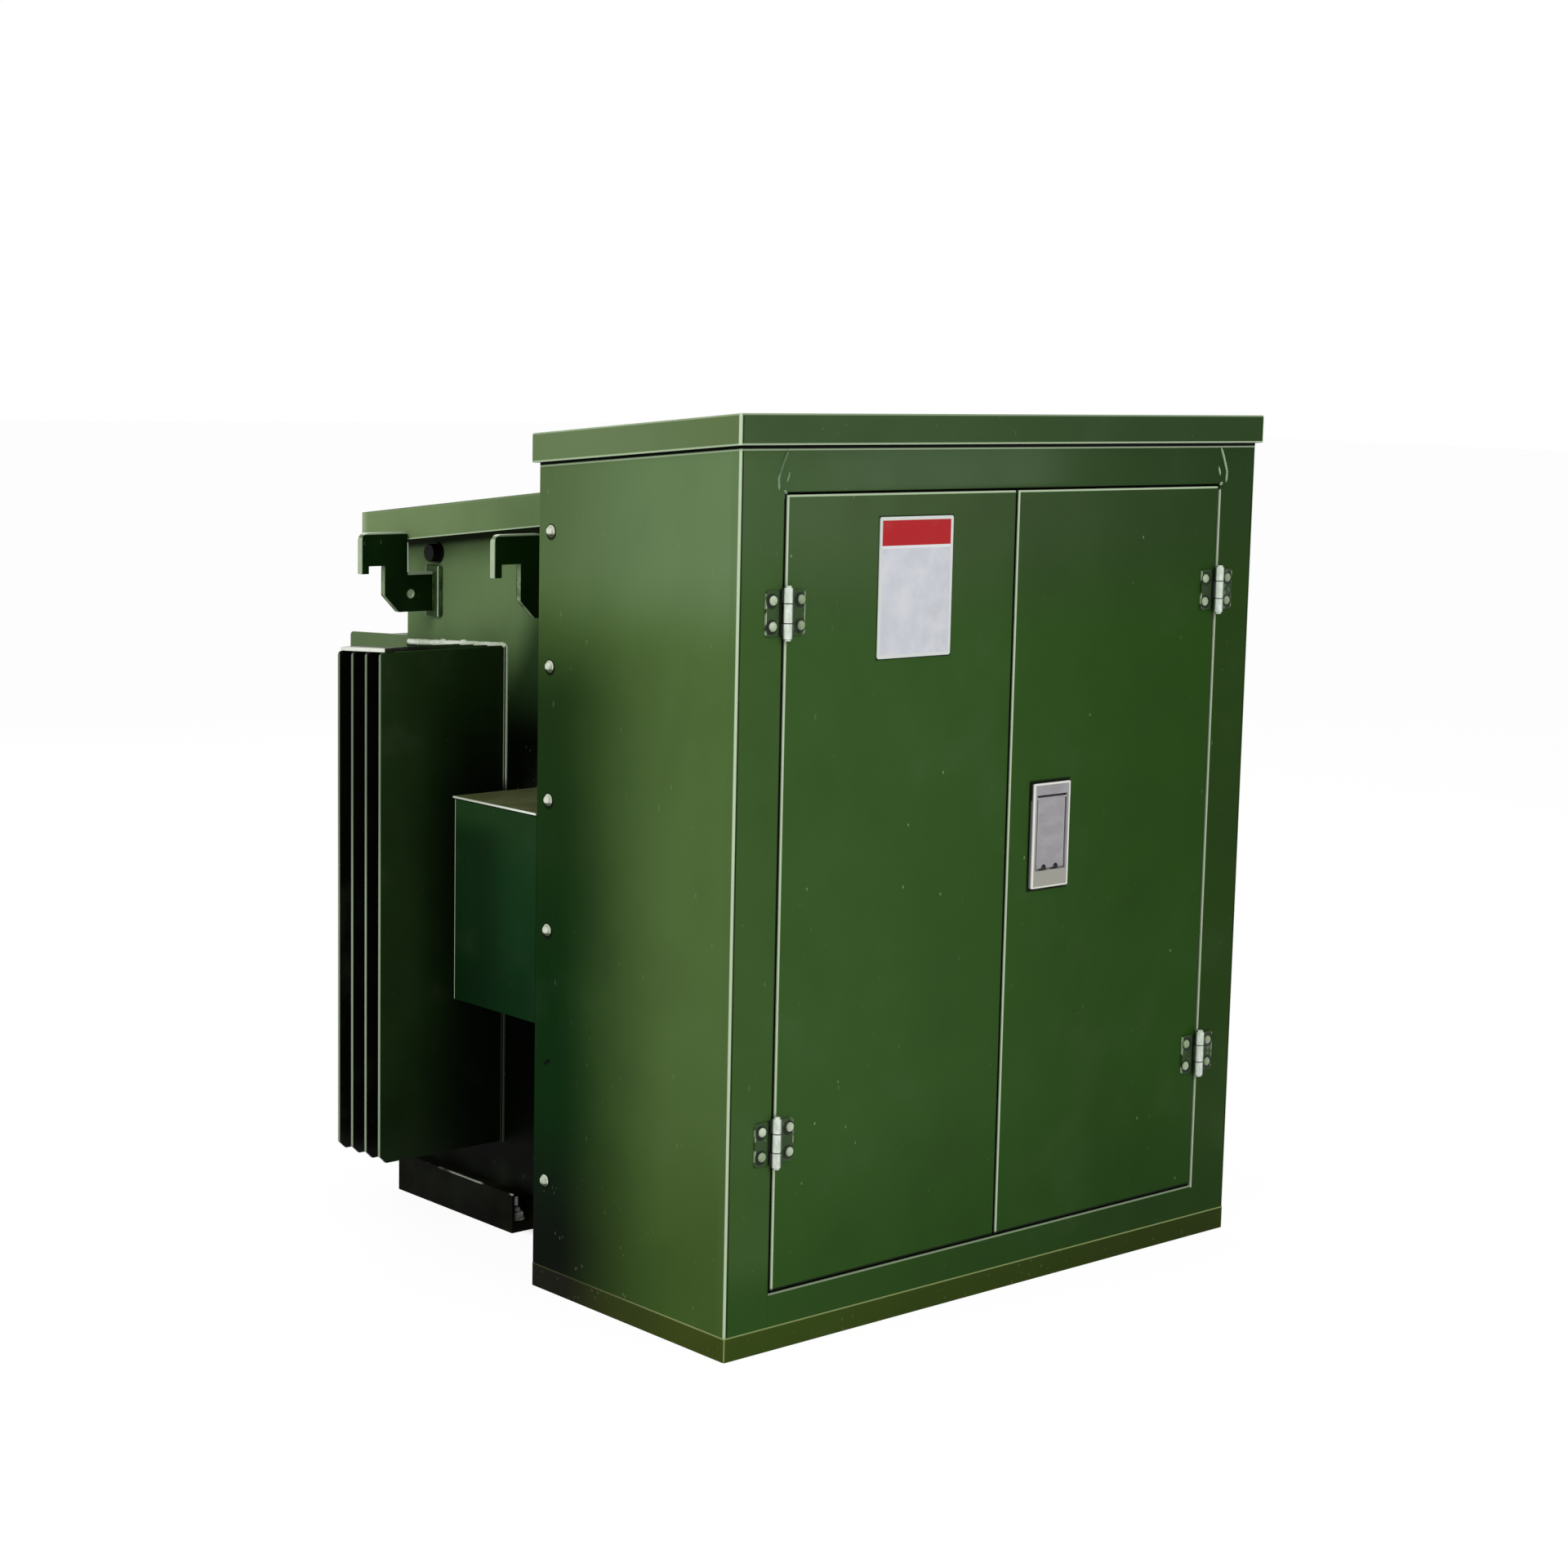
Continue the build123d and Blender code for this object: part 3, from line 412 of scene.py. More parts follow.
class Stock:
    """Points and faces of one piece, put together from rings that are joined one to the next."""

    SMOOTH_BELOW = math.radians(40)

    def __init__(self):
        self.points = []
        self.faces = []

    def add(self, rings):
        """Skin a row of rings that all have the same count of points, and close both ends."""
        start = len(self.points)
        count = len(rings[0])
        for ring in rings:
            self.points.extend(ring)
        for row in range(len(rings) - 1):
            for place in range(count):
                near = start + row * count + place
                far = start + row * count + (place + 1) % count
                self.faces.append((near, far, far + count, near + count))
        self.faces.append(tuple(start + place for place in reversed(range(count))))
        last = start + (len(rings) - 1) * count
        self.faces.append(tuple(last + place for place in range(count)))

    def turn(self, base, axis, profile, count=20, start=0.0):
        """A shape turned about an axis; the profile is (radius, distance along the axis) from its base."""
        axis = Vector(axis).normalized()
        across = axis.orthogonal().normalized()
        other = axis.cross(across)
        rings = []
        for radius, along in profile:
            ring = []
            for place in range(count):
                angle = start + 2 * math.pi * place / count
                out = math.cos(angle) * across + math.sin(angle) * other
                ring.append(Vector(base) + axis * along + out * radius)
            rings.append(ring)
        self.add(rings)

    def bar(self, low, high, edge):
        """A bar between two corners, with all its edges bevelled."""
        rings = []
        for z, inset in ((low[2], edge), (low[2] + edge, 0), (high[2] - edge, 0), (high[2], edge)):
            x0, x1, y0, y1 = low[0] + inset, high[0] - inset, low[1] + inset, high[1] - inset
            cut = edge - inset * 0.5
            ring = [
                (x0 + cut, y0), (x1 - cut, y0), (x1, y0 + cut), (x1, y1 - cut),
                (x1 - cut, y1), (x0 + cut, y1), (x0, y1 - cut), (x0, y0 + cut),
            ]
            rings.append([Vector((x, y, z)) for x, y in ring])
        self.add(rings)

    def bead(self, path, radius, seed, ripple=0.006):
        """A weld bead along a path of points, its width uneven and its face rippled."""
        dice = random.Random(seed)
        pitch = 0.002
        sides = 10
        stations = []
        for start, end in zip(path, path[1:]):
            start, end = Vector(start), Vector(end)
            steps = max(2, round((end - start).length / pitch))
            stations += [start.lerp(end, step / steps) for step in range(steps)]
        stations.append(Vector(path[-1]))
        last = len(stations) - 1
        swell = 1.0
        rings = []
        for number, middle in enumerate(stations):
            ahead = stations[min(number + 1, last)] - stations[max(number - 1, 0)]
            swell += (dice.uniform(0.75, 1.25) - swell) * 0.25
            wave = 1 + 0.14 * math.sin(2 * math.pi * number * pitch / ripple)
            taper = min(1.0, 0.35 + 0.2 * min(number, last - number))
            width = radius * swell * wave * taper
            side = ahead.normalized().orthogonal().normalized()
            other = ahead.normalized().cross(side)
            angles = [2 * math.pi * place / sides for place in range(sides)]
            rings.append([middle + width * (math.cos(a) * side + math.sin(a) * other) for a in angles])
        self.add(rings)

    def piece(self, name, material, body):
        """Make the object, smooth where its faces meet flatter than SMOOTH_BELOW, and let it ride."""
        mesh = bpy.data.meshes.new(name)
        mesh.from_pydata([tuple(point) for point in self.points], [], self.faces)
        outward = bmesh.new()
        outward.from_mesh(mesh)
        bmesh.ops.recalc_face_normals(outward, faces=outward.faces)
        outward.to_mesh(mesh)
        outward.free()
        mesh.materials.append(material)
        made = bpy.data.objects.new(name, mesh)
        bpy.context.collection.objects.link(made)
        mesh.validate()
        mesh.shade_smooth()
        mesh.set_sharp_from_angle(angle=self.SMOOTH_BELOW)
        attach(made, body)


def bolt_tones(x, y, z, place):
    """Zinc, with painted shade on the lower part of each head."""
    low_halves = [z.near(height - 0.0115, 0.0085) for height in SIDE_BOLT_Z]
    zinc = place.noise(90.0, 3.0, 0.5).ease(0.40, 0.70).blend(colour(218, 223, 207), colour(182, 191, 166))
    return (any_of(low_halves) * 0.9).blend(zinc, colour(56, 70, 44))


bolt_zinc = enamel("bolt_zinc", bolt_tones, rough=0.45, dust=0.0)
for side, way in (("left", -1), ("right", 1)):
    bolts = Stock()
    for height in SIDE_BOLT_Z:
        bolts.turn((way * half_w, cabinet_back - SIDE_BOLT_FROM_BACK, height), (way, 0, 0), bolt_dome)
    bolts.piece("side_bolts_" + side, bolt_zinc, "housing")


# Jambs, header and sill: folded posts and rails of the same sheet, joined by
# short weld beads at the upper corners of the opening.
door_low, door_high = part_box("door_left")
header_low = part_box("header")[0]
opening_half = -door_low.x + 0.005
sill_top = door_low.z - 0.005


def frame_tones(x, y, z, place):
    """Painted light high up, most of all on the header's left half, and darker at the foot. The sides take
    the side panels' painted light and shade.
    """
    paint = front_tone(x, colour(58, 88, 40), colour(32, 59, 11))
    paint = (z.ease(1.45, 1.66) * 0.8).blend(paint, front_tone(x, colour(72, 95, 60), colour(35, 58, 24)))
    upper = z.ease(1.700, 1.712) * x.near(-0.20, 0.42)
    paint = (upper * 0.6).blend(paint, colour(76, 98, 68))
    paint = z.ease(0.22, 0.11).blend(paint, front_tone(x, colour(44, 76, 27), colour(28, 56, 9)))
    side = z.ease(*SIDE_CREST).blend(colour(74, 101, 51), colour(94, 119, 78))
    side = z.ease(*SIDE_FOOT).blend(side, colour(64, 90, 38))
    return abs(x).ease(half_w - 0.006, half_w - 0.002).blend(paint, side)


def frame_marks(x, y, z, place):
    """Painted highlights on the bends and edges, and painted shade in the gaps beside them."""
    face = y.ease(front + 0.006, front + 0.003)
    bend = abs(x).near(half_w - 0.0008, 0.0036) * face
    beside = abs(x).near(half_w - 0.0062, 0.0022) * face * 0.8
    tall = z.ease(sill_top - 0.006, sill_top - 0.002) * z.ease(header_low.z + 0.006, header_low.z + 0.002)
    left_edge = x.near(-opening_half - 0.0012, 0.0040) * face * tall
    right_edge = x.near(opening_half + 0.0008, 0.0030) * y.ease(front + 0.010, front + 0.006) * tall
    gap = y.ease(front + 0.004, front + 0.007) * abs(x).ease(0.70, 0.69)
    gap = gap * x.ease(opening_half, opening_half - 0.001)
    in_opening = abs(x).ease(opening_half + 0.004, opening_half + 0.001)
    header_edge = z.near(header_low.z + 0.0012, 0.0040) * face * in_opening
    sill_edge = z.near(sill_top - 0.0010, 0.0022) * face * in_opening * 0.55
    return [
        (gap, GRIME_AND_SHADE),
        (left_edge.most(header_edge) * 0.92, GRIME_AND_SHADE),
        (right_edge.most(sill_edge) * 0.9, WEAR_AND_HIGHLIGHT),
        (beside, GRIME_AND_SHADE),
        (bend * 0.95, WEAR_AND_HIGHLIGHT),
        *skirt_lines(y, z, 0.0046),
    ]


wear(enamel("frame_enamel", frame_tones, frame_marks), "jamb_left", "jamb_right", "header", "sill")


# Header welds: three short beads at each upper corner of the opening, which join
# the header to the jambs and are painted over in a paler green.
BEAD_LONG = ((0.632, 1.780), (0.645, 1.752), (0.655, 1.727), (0.653, 1.704))
BEAD_SHORT = ((0.627, 1.738), (0.633, 1.719))
BEAD_SPOT = ((0.640, 1.704), (0.634, 1.698))


def plain(first, second):
    """The tones of a piece that has two colours, clouded into each other."""
    return lambda x, y, z, place: place.noise(9.0, 4.0, 0.6).ease(0.38, 0.62).blend(first, second)


weld_paint = enamel("weld_paint", plain(colour(158, 184, 150), colour(84, 108, 72)), rough=0.5)
header_welds = Stock()
for way in (-1, 1):
    for number, points in enumerate((BEAD_LONG, BEAD_SHORT)):
        path = [(way * x, front - 0.0006, z) for x, z in points]
        header_welds.bead(path, radius=0.0027 - 0.0006 * number, seed=31 + number + way)
    spot = [(way * x, front - 0.0004, z) for x, z in BEAD_SPOT]
    header_welds.bead(spot, radius=0.005, seed=41 + way)
header_welds.piece("header_welds", weld_paint, "housing")


# Base strips: flat steel bars fixed round the cabinet's foot. Their olive paint
# is splashed with soil, and its top edge and front corners are pale.
def strip_tones(x, y, z, place):
    # Painted light and shade: the face and the sides have a shade each, and the sides darken towards the
    # rear.
    face = front_tone(x, colour(56, 74, 22), colour(40, 54, 10))
    side = (y - front).ease(0.10, 0.36).blend(colour(60, 72, 20), colour(48, 58, 16))
    side = (y - front).ease(0.32, 0.54).blend(side, colour(15, 17, 4))
    return abs(x).ease(half_w - 0.003, half_w - 0.001).blend(face, side)


def strip_marks(x, y, z, place):
    fade = (y - front).ease(0.50, 0.10)
    edge = z.near(strip_high.z - 0.001, 0.0026) * (fade * 0.6 + 0.1)
    corner = abs(x).near(half_w - 0.0005, 0.0022) * y.ease(front + 0.003, front + 0.001) * 0.6
    soil = place.specks(0.010, 0.014, 0.30, 0.26, 0.2) * place.noise(5.0, 3.0).ease(0.40, 0.60) * 0.22
    return [(soil, colour(150, 152, 104)), (edge.most(corner), colour(158, 172, 112))]


strip_enamel = enamel("strip_enamel", strip_tones, strip_marks, rough=0.6)
wear(strip_enamel, "base_strip_front", "base_strip_left", "base_strip_right")


# Doors: two folded trays of the same sheet, hung on hinges at the jambs. Their
# edges carry painted highlights and painted shade, and painted shadows lie round the plates on them.
SHEET_T = 0.003
lock_low, lock_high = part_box("lock_frame")
sign_low, sign_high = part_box("sign_plate")


def within(value, low, high, start, end):
    """1 between two edges: inside each of them it goes from 0 at start to 1 at end."""
    return value.ease(low + start, low + end) * value.ease(high - start, high - end)


def plate_shadow(x, z, low, high, reach):
    """A painted shadow: the dark line round a plate on a face."""
    wide = within(x, low.x, high.x, -reach, -reach * 0.5)
    return wide * within(z, low.z, high.z, -reach, -reach * 0.5)


def door_tones(x, y, z, place):
    """Yellower at the left, painted light high up, and darker at the foot."""
    paint = front_tone(x, colour(55, 87, 38), colour(33, 67, 12))
    paint = (z.ease(1.35, 1.66) * 0.9).blend(paint, front_tone(x, colour(74, 95, 60), colour(36, 59, 24)))
    return (z.ease(0.48, 0.12) * 0.8).blend(paint, front_tone(x, colour(42, 76, 24), colour(26, 60, 6)))


def door_marks(x, y, z, place):
    """Painted highlights on the upper and hinge edges, painted shade where the doors meet, along the foot,
    in the rim gaps and round the plates, and scratches.
    """
    face = y.ease(front + 0.005, front + 0.002)
    outer = x.near(door_low.x + 0.0016, 0.0034).most(x.near(-door_high.x + 0.0014, 0.0030))
    head = z.near(door_high.z - 0.0016, 0.0030) * 0.9
    foot = z.ease(door_low.z + 0.0055, door_low.z + 0.0035)
    shut = x.near(-door_low.x - 0.0005, 0.0036).most(x.near(door_high.x - 0.0005, 0.0030))
    shadow = plate_shadow(x, z, lock_low, lock_high, 0.0085) * x.ease(0.0, 0.01)
    shadow = shadow.most(plate_shadow(x, z, sign_low, sign_high, 0.0035) * 0.8)
    rim = any_of(
        [
            abs(x).ease(-door_high.x + 0.0025, -door_high.x + 0.001),
            abs(x).ease(-door_low.x - 0.0025, -door_low.x - 0.001),
            z.ease(door_high.z - 0.0025, door_high.z - 0.001),
            z.ease(door_low.z + 0.0025, door_low.z + 0.001),
        ]
    )
    gap = y.ease(front + 0.003, front + 0.006) * y.ease(front + 0.0235, front + 0.0215) * rim
    scratch = place.specks(0.016, 0.030, 0.03, 0.14, 0.9) * 0.35
    return [
        (scratch, WEAR_AND_HIGHLIGHT),
        (gap * 0.92, GRIME_AND_SHADE),
        (outer.most(head) * face, WEAR_AND_HIGHLIGHT),
        (shut.most(foot) * face * 0.92, GRIME_AND_SHADE),
        (shadow * y.ease(front + 0.002, front + 0.001) * 0.92, GRIME_AND_SHADE),
    ]


wear(enamel("door_enamel", door_tones, door_marks), "door_left", "door_right")


# Door seals: strips of black rubber, glued to the stops round the opening where
# the shut doors press on them.
# Their black also stands in for the shade in the gaps round the doors.
SEAL_T = 0.004
SEAL_W = 0.011
SEAL_EDGE = 0.0015
rubber = enamel("seal_rubber", plain(colour(20, 21, 20), colour(34, 35, 33)), rough=0.7, dust=0.3)
stop_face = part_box("jamb_left")[1].y - SHEET_T
seal_x = opening_half - 0.0015
seal_z0 = door_low.z + 0.0005
seal_z1 = door_high.z - 0.0005
seals = Stock()
for way in (-1, 1):
    xs = sorted((way * (seal_x - SEAL_W), way * seal_x))
    seals.bar((xs[0], stop_face - SEAL_T, seal_z0), (xs[1], stop_face, seal_z1), SEAL_EDGE)
for z0 in (seal_z0, seal_z1 - SEAL_W):
    seal_low = (SEAL_W - seal_x, stop_face - SEAL_T, z0)
    seals.bar(seal_low, (seal_x - SEAL_W, stop_face, z0 + SEAL_W), SEAL_EDGE)
seals.piece("door_seals", rubber, "housing")


# Door latch: two round rods inside the right door, plated with zinc. Guides lead
# them along the door's skin, and a cam behind the lock moves them.
ROD_R = 0.006
ROD_EDGE = 0.0015
ROD_FROM_DOOR_EDGE = 0.020
ROD_FROM_LOCK = 0.030
GUIDE_H = 0.018
GUIDE_HALF = 0.016
GUIDE_BORE_HALF = 0.0065
GUIDE_BACK = 0.0085
STRAP_PROUD = 0.0003
lock_x = (lock_low.x + lock_high.x) / 2
lock_z = (lock_low.z + lock_high.z) / 2
rod_y = front + 0.0135
rod_spans = (
    (door_low.z + ROD_FROM_DOOR_EDGE, lock_z - ROD_FROM_LOCK),
    (lock_z + ROD_FROM_LOCK, door_high.z - ROD_FROM_DOOR_EDGE),
)
cam = [(0.013, 0.0), (0.013, 0.006), (0.036, 0.0062), (0.036, 0.0098), (0.034, 0.0112)]
latch_zinc = enamel("latch_zinc", plain(colour(150, 154, 150), colour(190, 192, 186)), rough=0.4, dust=0.3)
latch = Stock()
for z0, z1 in rod_spans:
    length = z1 - z0
    tip_r = ROD_R - ROD_EDGE
    rod = [(tip_r, 0.0), (ROD_R, ROD_EDGE), (ROD_R, length - ROD_EDGE), (tip_r, length)]
    latch.turn((lock_x, rod_y, z0), (0, 0, 1), rod)
    for share in (0.12, 0.5, 0.88):
        guide_z = z0 + share * length
        guide_top = guide_z + GUIDE_H
        for x0, x1 in ((-GUIDE_HALF, -GUIDE_BORE_HALF), (GUIDE_BORE_HALF, GUIDE_HALF)):
            cheek = (lock_x + x1, rod_y + GUIDE_BACK, guide_top)
            latch.bar((lock_x + x0, front + SHEET_T, guide_z), cheek, edge=0.0012)
        strap = (lock_x + GUIDE_HALF, rod_y + GUIDE_BACK + STRAP_PROUD, guide_top)
        latch.bar((lock_x - GUIDE_HALF, rod_y + 0.0062, guide_z), strap, edge=0.0010)
latch.turn((lock_x, front + SHEET_T, lock_z), (0, 1, 0), cam, count=32)
latch.piece("door_latch", latch_zinc, "right_door")


# Hinges: turned barrels on stainless leaves, whose faces took the green
# enamel. Two round-headed bolts hold each leaf.
LEAF_T = 0.004
HINGE_BOLT_OUT = 0.033
DOOR_BOLT_SHIFT = 0.006
HINGE_BOLT_APART = 0.025
HALF_HINGE = 0.053
HALF_KNUCKLE = 0.019
hinge_low, hinge_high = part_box("hinge_frame_left")
hinge_mids = (hinge_low.z + HALF_HINGE, hinge_high.z - HALF_HINGE)
barrel_y = front - 0.011
hinge_x = opening_half - 0.0025


def hinge_tones(x, y, z, place):
    """Bright barrels with painted shade on the flanks turned from the light, on leaves that carry the
    cabinet's green.
    """
    grain = place.noise(60.0, 3.0, 0.5, (3, 3, 1)).ease(0.36, 0.66)
    steel = grain.blend(colour(200, 212, 196), colour(226, 234, 224))
    off_pin = x - (x.ease(-0.01, 0.01) * 2 - 1) * hinge_x
    flank = off_pin.ease(-0.0005, 0.0035).most(y.ease(barrel_y - 0.002, barrel_y + 0.003))
    steel = (flank * 0.92).blend(steel, colour(40, 52, 32))
    leaf = front_tone(x, colour(44, 70, 30), colour(30, 54, 16))
    leaf = (place.noise(40.0, 4.0, 0.6).ease(0.56, 0.66) * 0.30).blend(leaf, colour(150, 168, 134))
    return abs(abs(x) - hinge_x).ease(0.0115, 0.0100).blend(leaf, steel)


def hinge_marks(x, y, z, place):
    out = abs(abs(x) - hinge_x)
    rim = out.near(0.0496, 0.0020) * place.noise(45.0, 3.0).ease(0.44, 0.54) * 0.7
    # Painted shade on the leaves beside the barrels, and painted shadow rings round the bolt heads.
    shade = out.near(0.0140, 0.0050) * y.ease(front - 0.0065, front - 0.0045) * 0.95
    rings = []
    breaks = []
    for middle in hinge_mids:
        for step in (-HINGE_BOLT_APART, HINGE_BOLT_APART):
            rise = z - (middle + step - 0.001)
            rings.append(disc(out - HINGE_BOLT_OUT - DOOR_BOLT_SHIFT / 2, rise, 0.0165, 0.0135))
            breaks.append(z.near(middle + math.copysign(HALF_KNUCKLE, step), 0.0016))
    return [
        (rim, WEAR_AND_HIGHLIGHT),
        (any_of(rings) * y.ease(front - 0.0035, front - 0.0039) * 0.85, GRIME_AND_SHADE),
        (shade, GRIME_AND_SHADE),
        (any_of(breaks) * out.ease(0.013, 0.011) * 0.85, GRIME_AND_SHADE),
    ]


hinge_steel = enamel(
    "hinge_steel", hinge_tones, hinge_marks, rough=0.38, specular=0.2, dust=0.1, cloud=0.04
)
wear(hinge_steel, "hinge_frame_left", "hinge_frame_right", "hinge_door_left", "hinge_door_right")


# Hinge bolts: low round heads of stainless steel, with traces of green enamel.
# The door leaf's bolts sit a little farther from the pin than the frame leaf's.
round_head = [
    (0.0092, 0.0), (0.0096, 0.0012), (0.0092, 0.0026), (0.0074, 0.0044), (0.0040, 0.0055),
]
head_tones = plain(colour(198, 210, 186), colour(140, 160, 124))
head_steel = enamel("hinge_bolt_steel", head_tones, rough=0.4, specular=0.3, dust=0.2)
for side, way, door in (("left", -1, "left_door"), ("right", 1, "right_door")):
    leaves = (("frame", HINGE_BOLT_OUT, "housing"), ("door", -HINGE_BOLT_OUT - DOOR_BOLT_SHIFT, door))
    for part, offset, body in leaves:
        bolts = Stock()
        for middle in hinge_mids:
            for step in (-HINGE_BOLT_APART, HINGE_BOLT_APART):
                seat = (way * (hinge_x + offset), front - LEAF_T, middle + step)
                bolts.turn(seat, (0, -1, 0), round_head)
        bolts.piece("hinge_bolts_" + part + "_" + side, head_steel, body)


# Sign plate: an enamelled steel sheet, fixed flat on the left door. It has a
# white border, a red band on top and a plain pale field.
SIGN_BORDER = (0.006, 0.0075)
SIGN_BAND = (0.0575, 0.0565)
SIGN_LINE = 0.0600


def sign_tones(x, y, z, place):
    inside = within(x, sign_low.x, sign_high.x, *SIGN_BORDER)
    inside = inside * within(z, sign_low.z, sign_high.z, *SIGN_BORDER)
    band = z.ease(sign_high.z - SIGN_BAND[0], sign_high.z - SIGN_BAND[1])
    line = z.near(sign_high.z - SIGN_LINE, 0.0035)
    field = place.noise(18.0, 4.0, 0.6).ease(0.35, 0.7).blend(colour(202, 204, 212), colour(214, 216, 222))
    inner = band.blend(field, colour(176, 24, 30))
    inner = line.blend(inner, colour(226, 228, 230))
    return inside.blend(colour(214, 218, 214), inner)


def sign_marks(x, y, z, place):
    soil = place.noise(7.0, 5.0, 0.65).ease(0.52, 0.80) * 0.2
    return [(soil, colour(120, 130, 110))]


sign_enamel = enamel("sign_enamel", sign_tones, sign_marks, rough=0.35, specular=0.2, dust=0.1, cloud=0.03)
wear(sign_enamel, "sign_plate")


# Lock: a cast stainless frame with a painted highlight on its rim, and a duller
# flap that hangs in the recess.
LOCK_RIM_X = (0.049, 0.052)
LOCK_RIM_Z = (0.1065, 0.109)


def lock_tones(x, y, z, place):
    body = place.noise(24.0, 4.0, 0.6).ease(0.35, 0.66).blend(colour(150, 148, 150), colour(160, 158, 160))
    face = y.ease(lock_low.y + 0.004, lock_low.y + 0.0015)
    # Painted highlight on the rim's face.
    rim = abs(x - lock_x).ease(*LOCK_RIM_X).most(abs(z - lock_z).ease(*LOCK_RIM_Z)) * face
    foot = z.ease(lock_low.z + 0.040, lock_low.z + 0.034)
    body = foot.blend(body, colour(160, 158, 148))
    return rim.blend(body, colour(232, 232, 224))


def lock_marks(x, y, z, place):
    """Painted shade in the recess round the flap, deepest at its head, at the notches by its foot and on
    its left side.
    """
    deep = y.ease(lock_low.y + 0.003, lock_low.y + 0.006)
    head = z.ease(lock_high.z - 0.040, lock_high.z - 0.034)
    notch = abs(abs(x - lock_x) - 0.018).ease(0.014, 0.009) * z.ease(lock_low.z + 0.056, lock_low.z + 0.050)
    dark = head.most(notch).most((x - lock_x).ease(-0.036, -0.040) * 0.45) * 0.75 + 0.2
    return [(deep * dark, colour(12, 14, 10))]


lock_steel = enamel("lock_steel", lock_tones, lock_marks, rough=0.40, specular=0.25, dust=0.1, cloud=0.03)
wear(lock_steel, "lock_frame")


def flap_tones(x, y, z, place):
    body = place.noise(20.0, 4.0, 0.6, (1, 1, 2)).ease(0.36, 0.66)
    body = body.blend(colour(152, 149, 153), colour(162, 159, 163))
    rim = abs(x - lock_x).ease(0.0375, 0.0400) * 0.5
    return rim.blend(body, colour(196, 196, 196))


wear(enamel("flap_steel", flap_tones, rough=0.40, specular=0.25, dust=0.1, cloud=0.03), "lock_flap")


# Tank, flange, cover and bulkhead: welded plate under the same enamel, with
# painted light above and black painted shadow below the hooks.
tank_low, tank_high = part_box("tank_body")
cover_low, cover_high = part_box("tank_cover")
COVER_FALL = math.tan(math.radians(6.6))
COVER_SKIRT = 0.072


def tank_tones(x, y, z, place):
    """Painted light near the top, painted shade below a waving edge, and black painted shadow low down."""
    along = y - cabinet_back
    waver = (place.noise(4.0, 3.0) - 0.5) * 0.12
    light = along.ease(0.0, 0.70).blend(colour(99, 125, 80), colour(107, 132, 88))
    shade = (along + waver).ease(0.02, 0.24).blend(colour(84, 110, 64), colour(38, 60, 31))
    edge_z = along.ease(0.26, 0.40) * -0.14 + 1.44
    paint = (z - edge_z + waver * 0.8).ease(0.10, -0.13).blend(light, shade)
    low_shadow = (z.ease(1.32, 1.10) * along.ease(-0.02, 0.16)).most(z.ease(1.00, 0.88))
    return low_shadow.blend(paint, colour(2, 4, 1))


def tank_marks(x, y, z, place):
    # Streaks that run down the wall, and a painted shadow under the cover's skirt.
    under_skirt = (cover_high.z - COVER_SKIRT - (y - cabinet_back) * COVER_FALL) - z
    runs = place.noise(11.0, 4.0, 0.6, (1, 1, 0.12)).ease(0.58, 0.74) * z.ease(0.9, 1.4) * 0.25
    return [(runs, colour(50, 72, 36)), (under_skirt.ease(0.022, 0.006) * 0.9, GRIME_AND_SHADE)]


tank_enamel = enamel("tank_enamel", tank_tones, tank_marks, rough=0.55, specular=0.03)
wear(tank_enamel, "tank_body", "tank_flange")


def cover_tones(x, y, z, place):
    # Painted light: the skirt lightens towards the rear, and the top has a shade of its own.
    along = y - cabinet_back
    paint = along.ease(0.0, 0.85).blend(colour(92, 117, 74), colour(118, 139, 94))
    top = (cover_high.z - along * COVER_FALL - z).ease(0.004, 0.001)
    return top.blend(paint, colour(96, 118, 78))


def cover_marks(x, y, z, place):
    # Painted highlights on the hem, the crown and the rear edge, and painted shade inside the skirt.
    drop = cover_high.z - (y - cabinet_back) * COVER_FALL - z
    hem = drop.near(COVER_SKIRT - 0.0010, 0.0030) * 0.7
    crown = drop.near(0.0018, 0.0030) * 0.12
    rear = (y - cabinet_back).ease(0.84, 0.868) * 0.45
    inside = abs(x).ease(-cover_low.x - 0.005, -cover_low.x - 0.007) * drop.ease(0.010, 0.020)
    inside = inside * (y - cabinet_back).ease(0.86, 0.85)
    return [(rear, WEAR_AND_HIGHLIGHT), ((hem + crown).least(1.0), WEAR_AND_HIGHLIGHT), (inside, GRIME_AND_SHADE)]


wear(enamel("cover_enamel", cover_tones, cover_marks), "tank_cover")


def inner_tones(x, y, z, place):
    paint = place.noise(3.0, 4.0).ease(0.35, 0.65).blend(colour(70, 92, 58), colour(84, 106, 70))
    return z.ease(0.30, 0.05).blend(paint, colour(48, 64, 36))


wear(enamel("inner_enamel", inner_tones), "bulkhead", "bolt_flanges", "compartment_barrier")


# Tank welds: a bead down each front corner of the tank, painted over with it.
# They close the joint between the tank's side and the bulkhead.
tank_half = tank_high.x
tank_weld_paint = enamel("tank_weld_paint", plain(colour(84, 106, 66), colour(60, 82, 44)))
tank_welds = Stock()
for way in (-1, 1):
    corner = [(way * (tank_half + 0.001), cabinet_back + 0.001, z) for z in (tank_low.z + 0.01, 1.60)]
    tank_welds.bead(corner, radius=0.0042, seed=51 + way)
tank_welds.piece("tank_welds", tank_weld_paint, "housing")


# Fins: flat pockets folded from thin sheet and dipped dark green, on panels that
# are welded to the tank. The folds and the tie bars' edges carry painted highlights.
fins_low, fins_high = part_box("fin_bank_left")
panel_low, panel_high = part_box("fin_panels")
fin_outer = -fins_low.x
rear_fins_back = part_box("fin_bank_rear")[1].y
bars_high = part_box("fin_tie_bars")[1]
lid_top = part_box("side_box_lids")[1].z


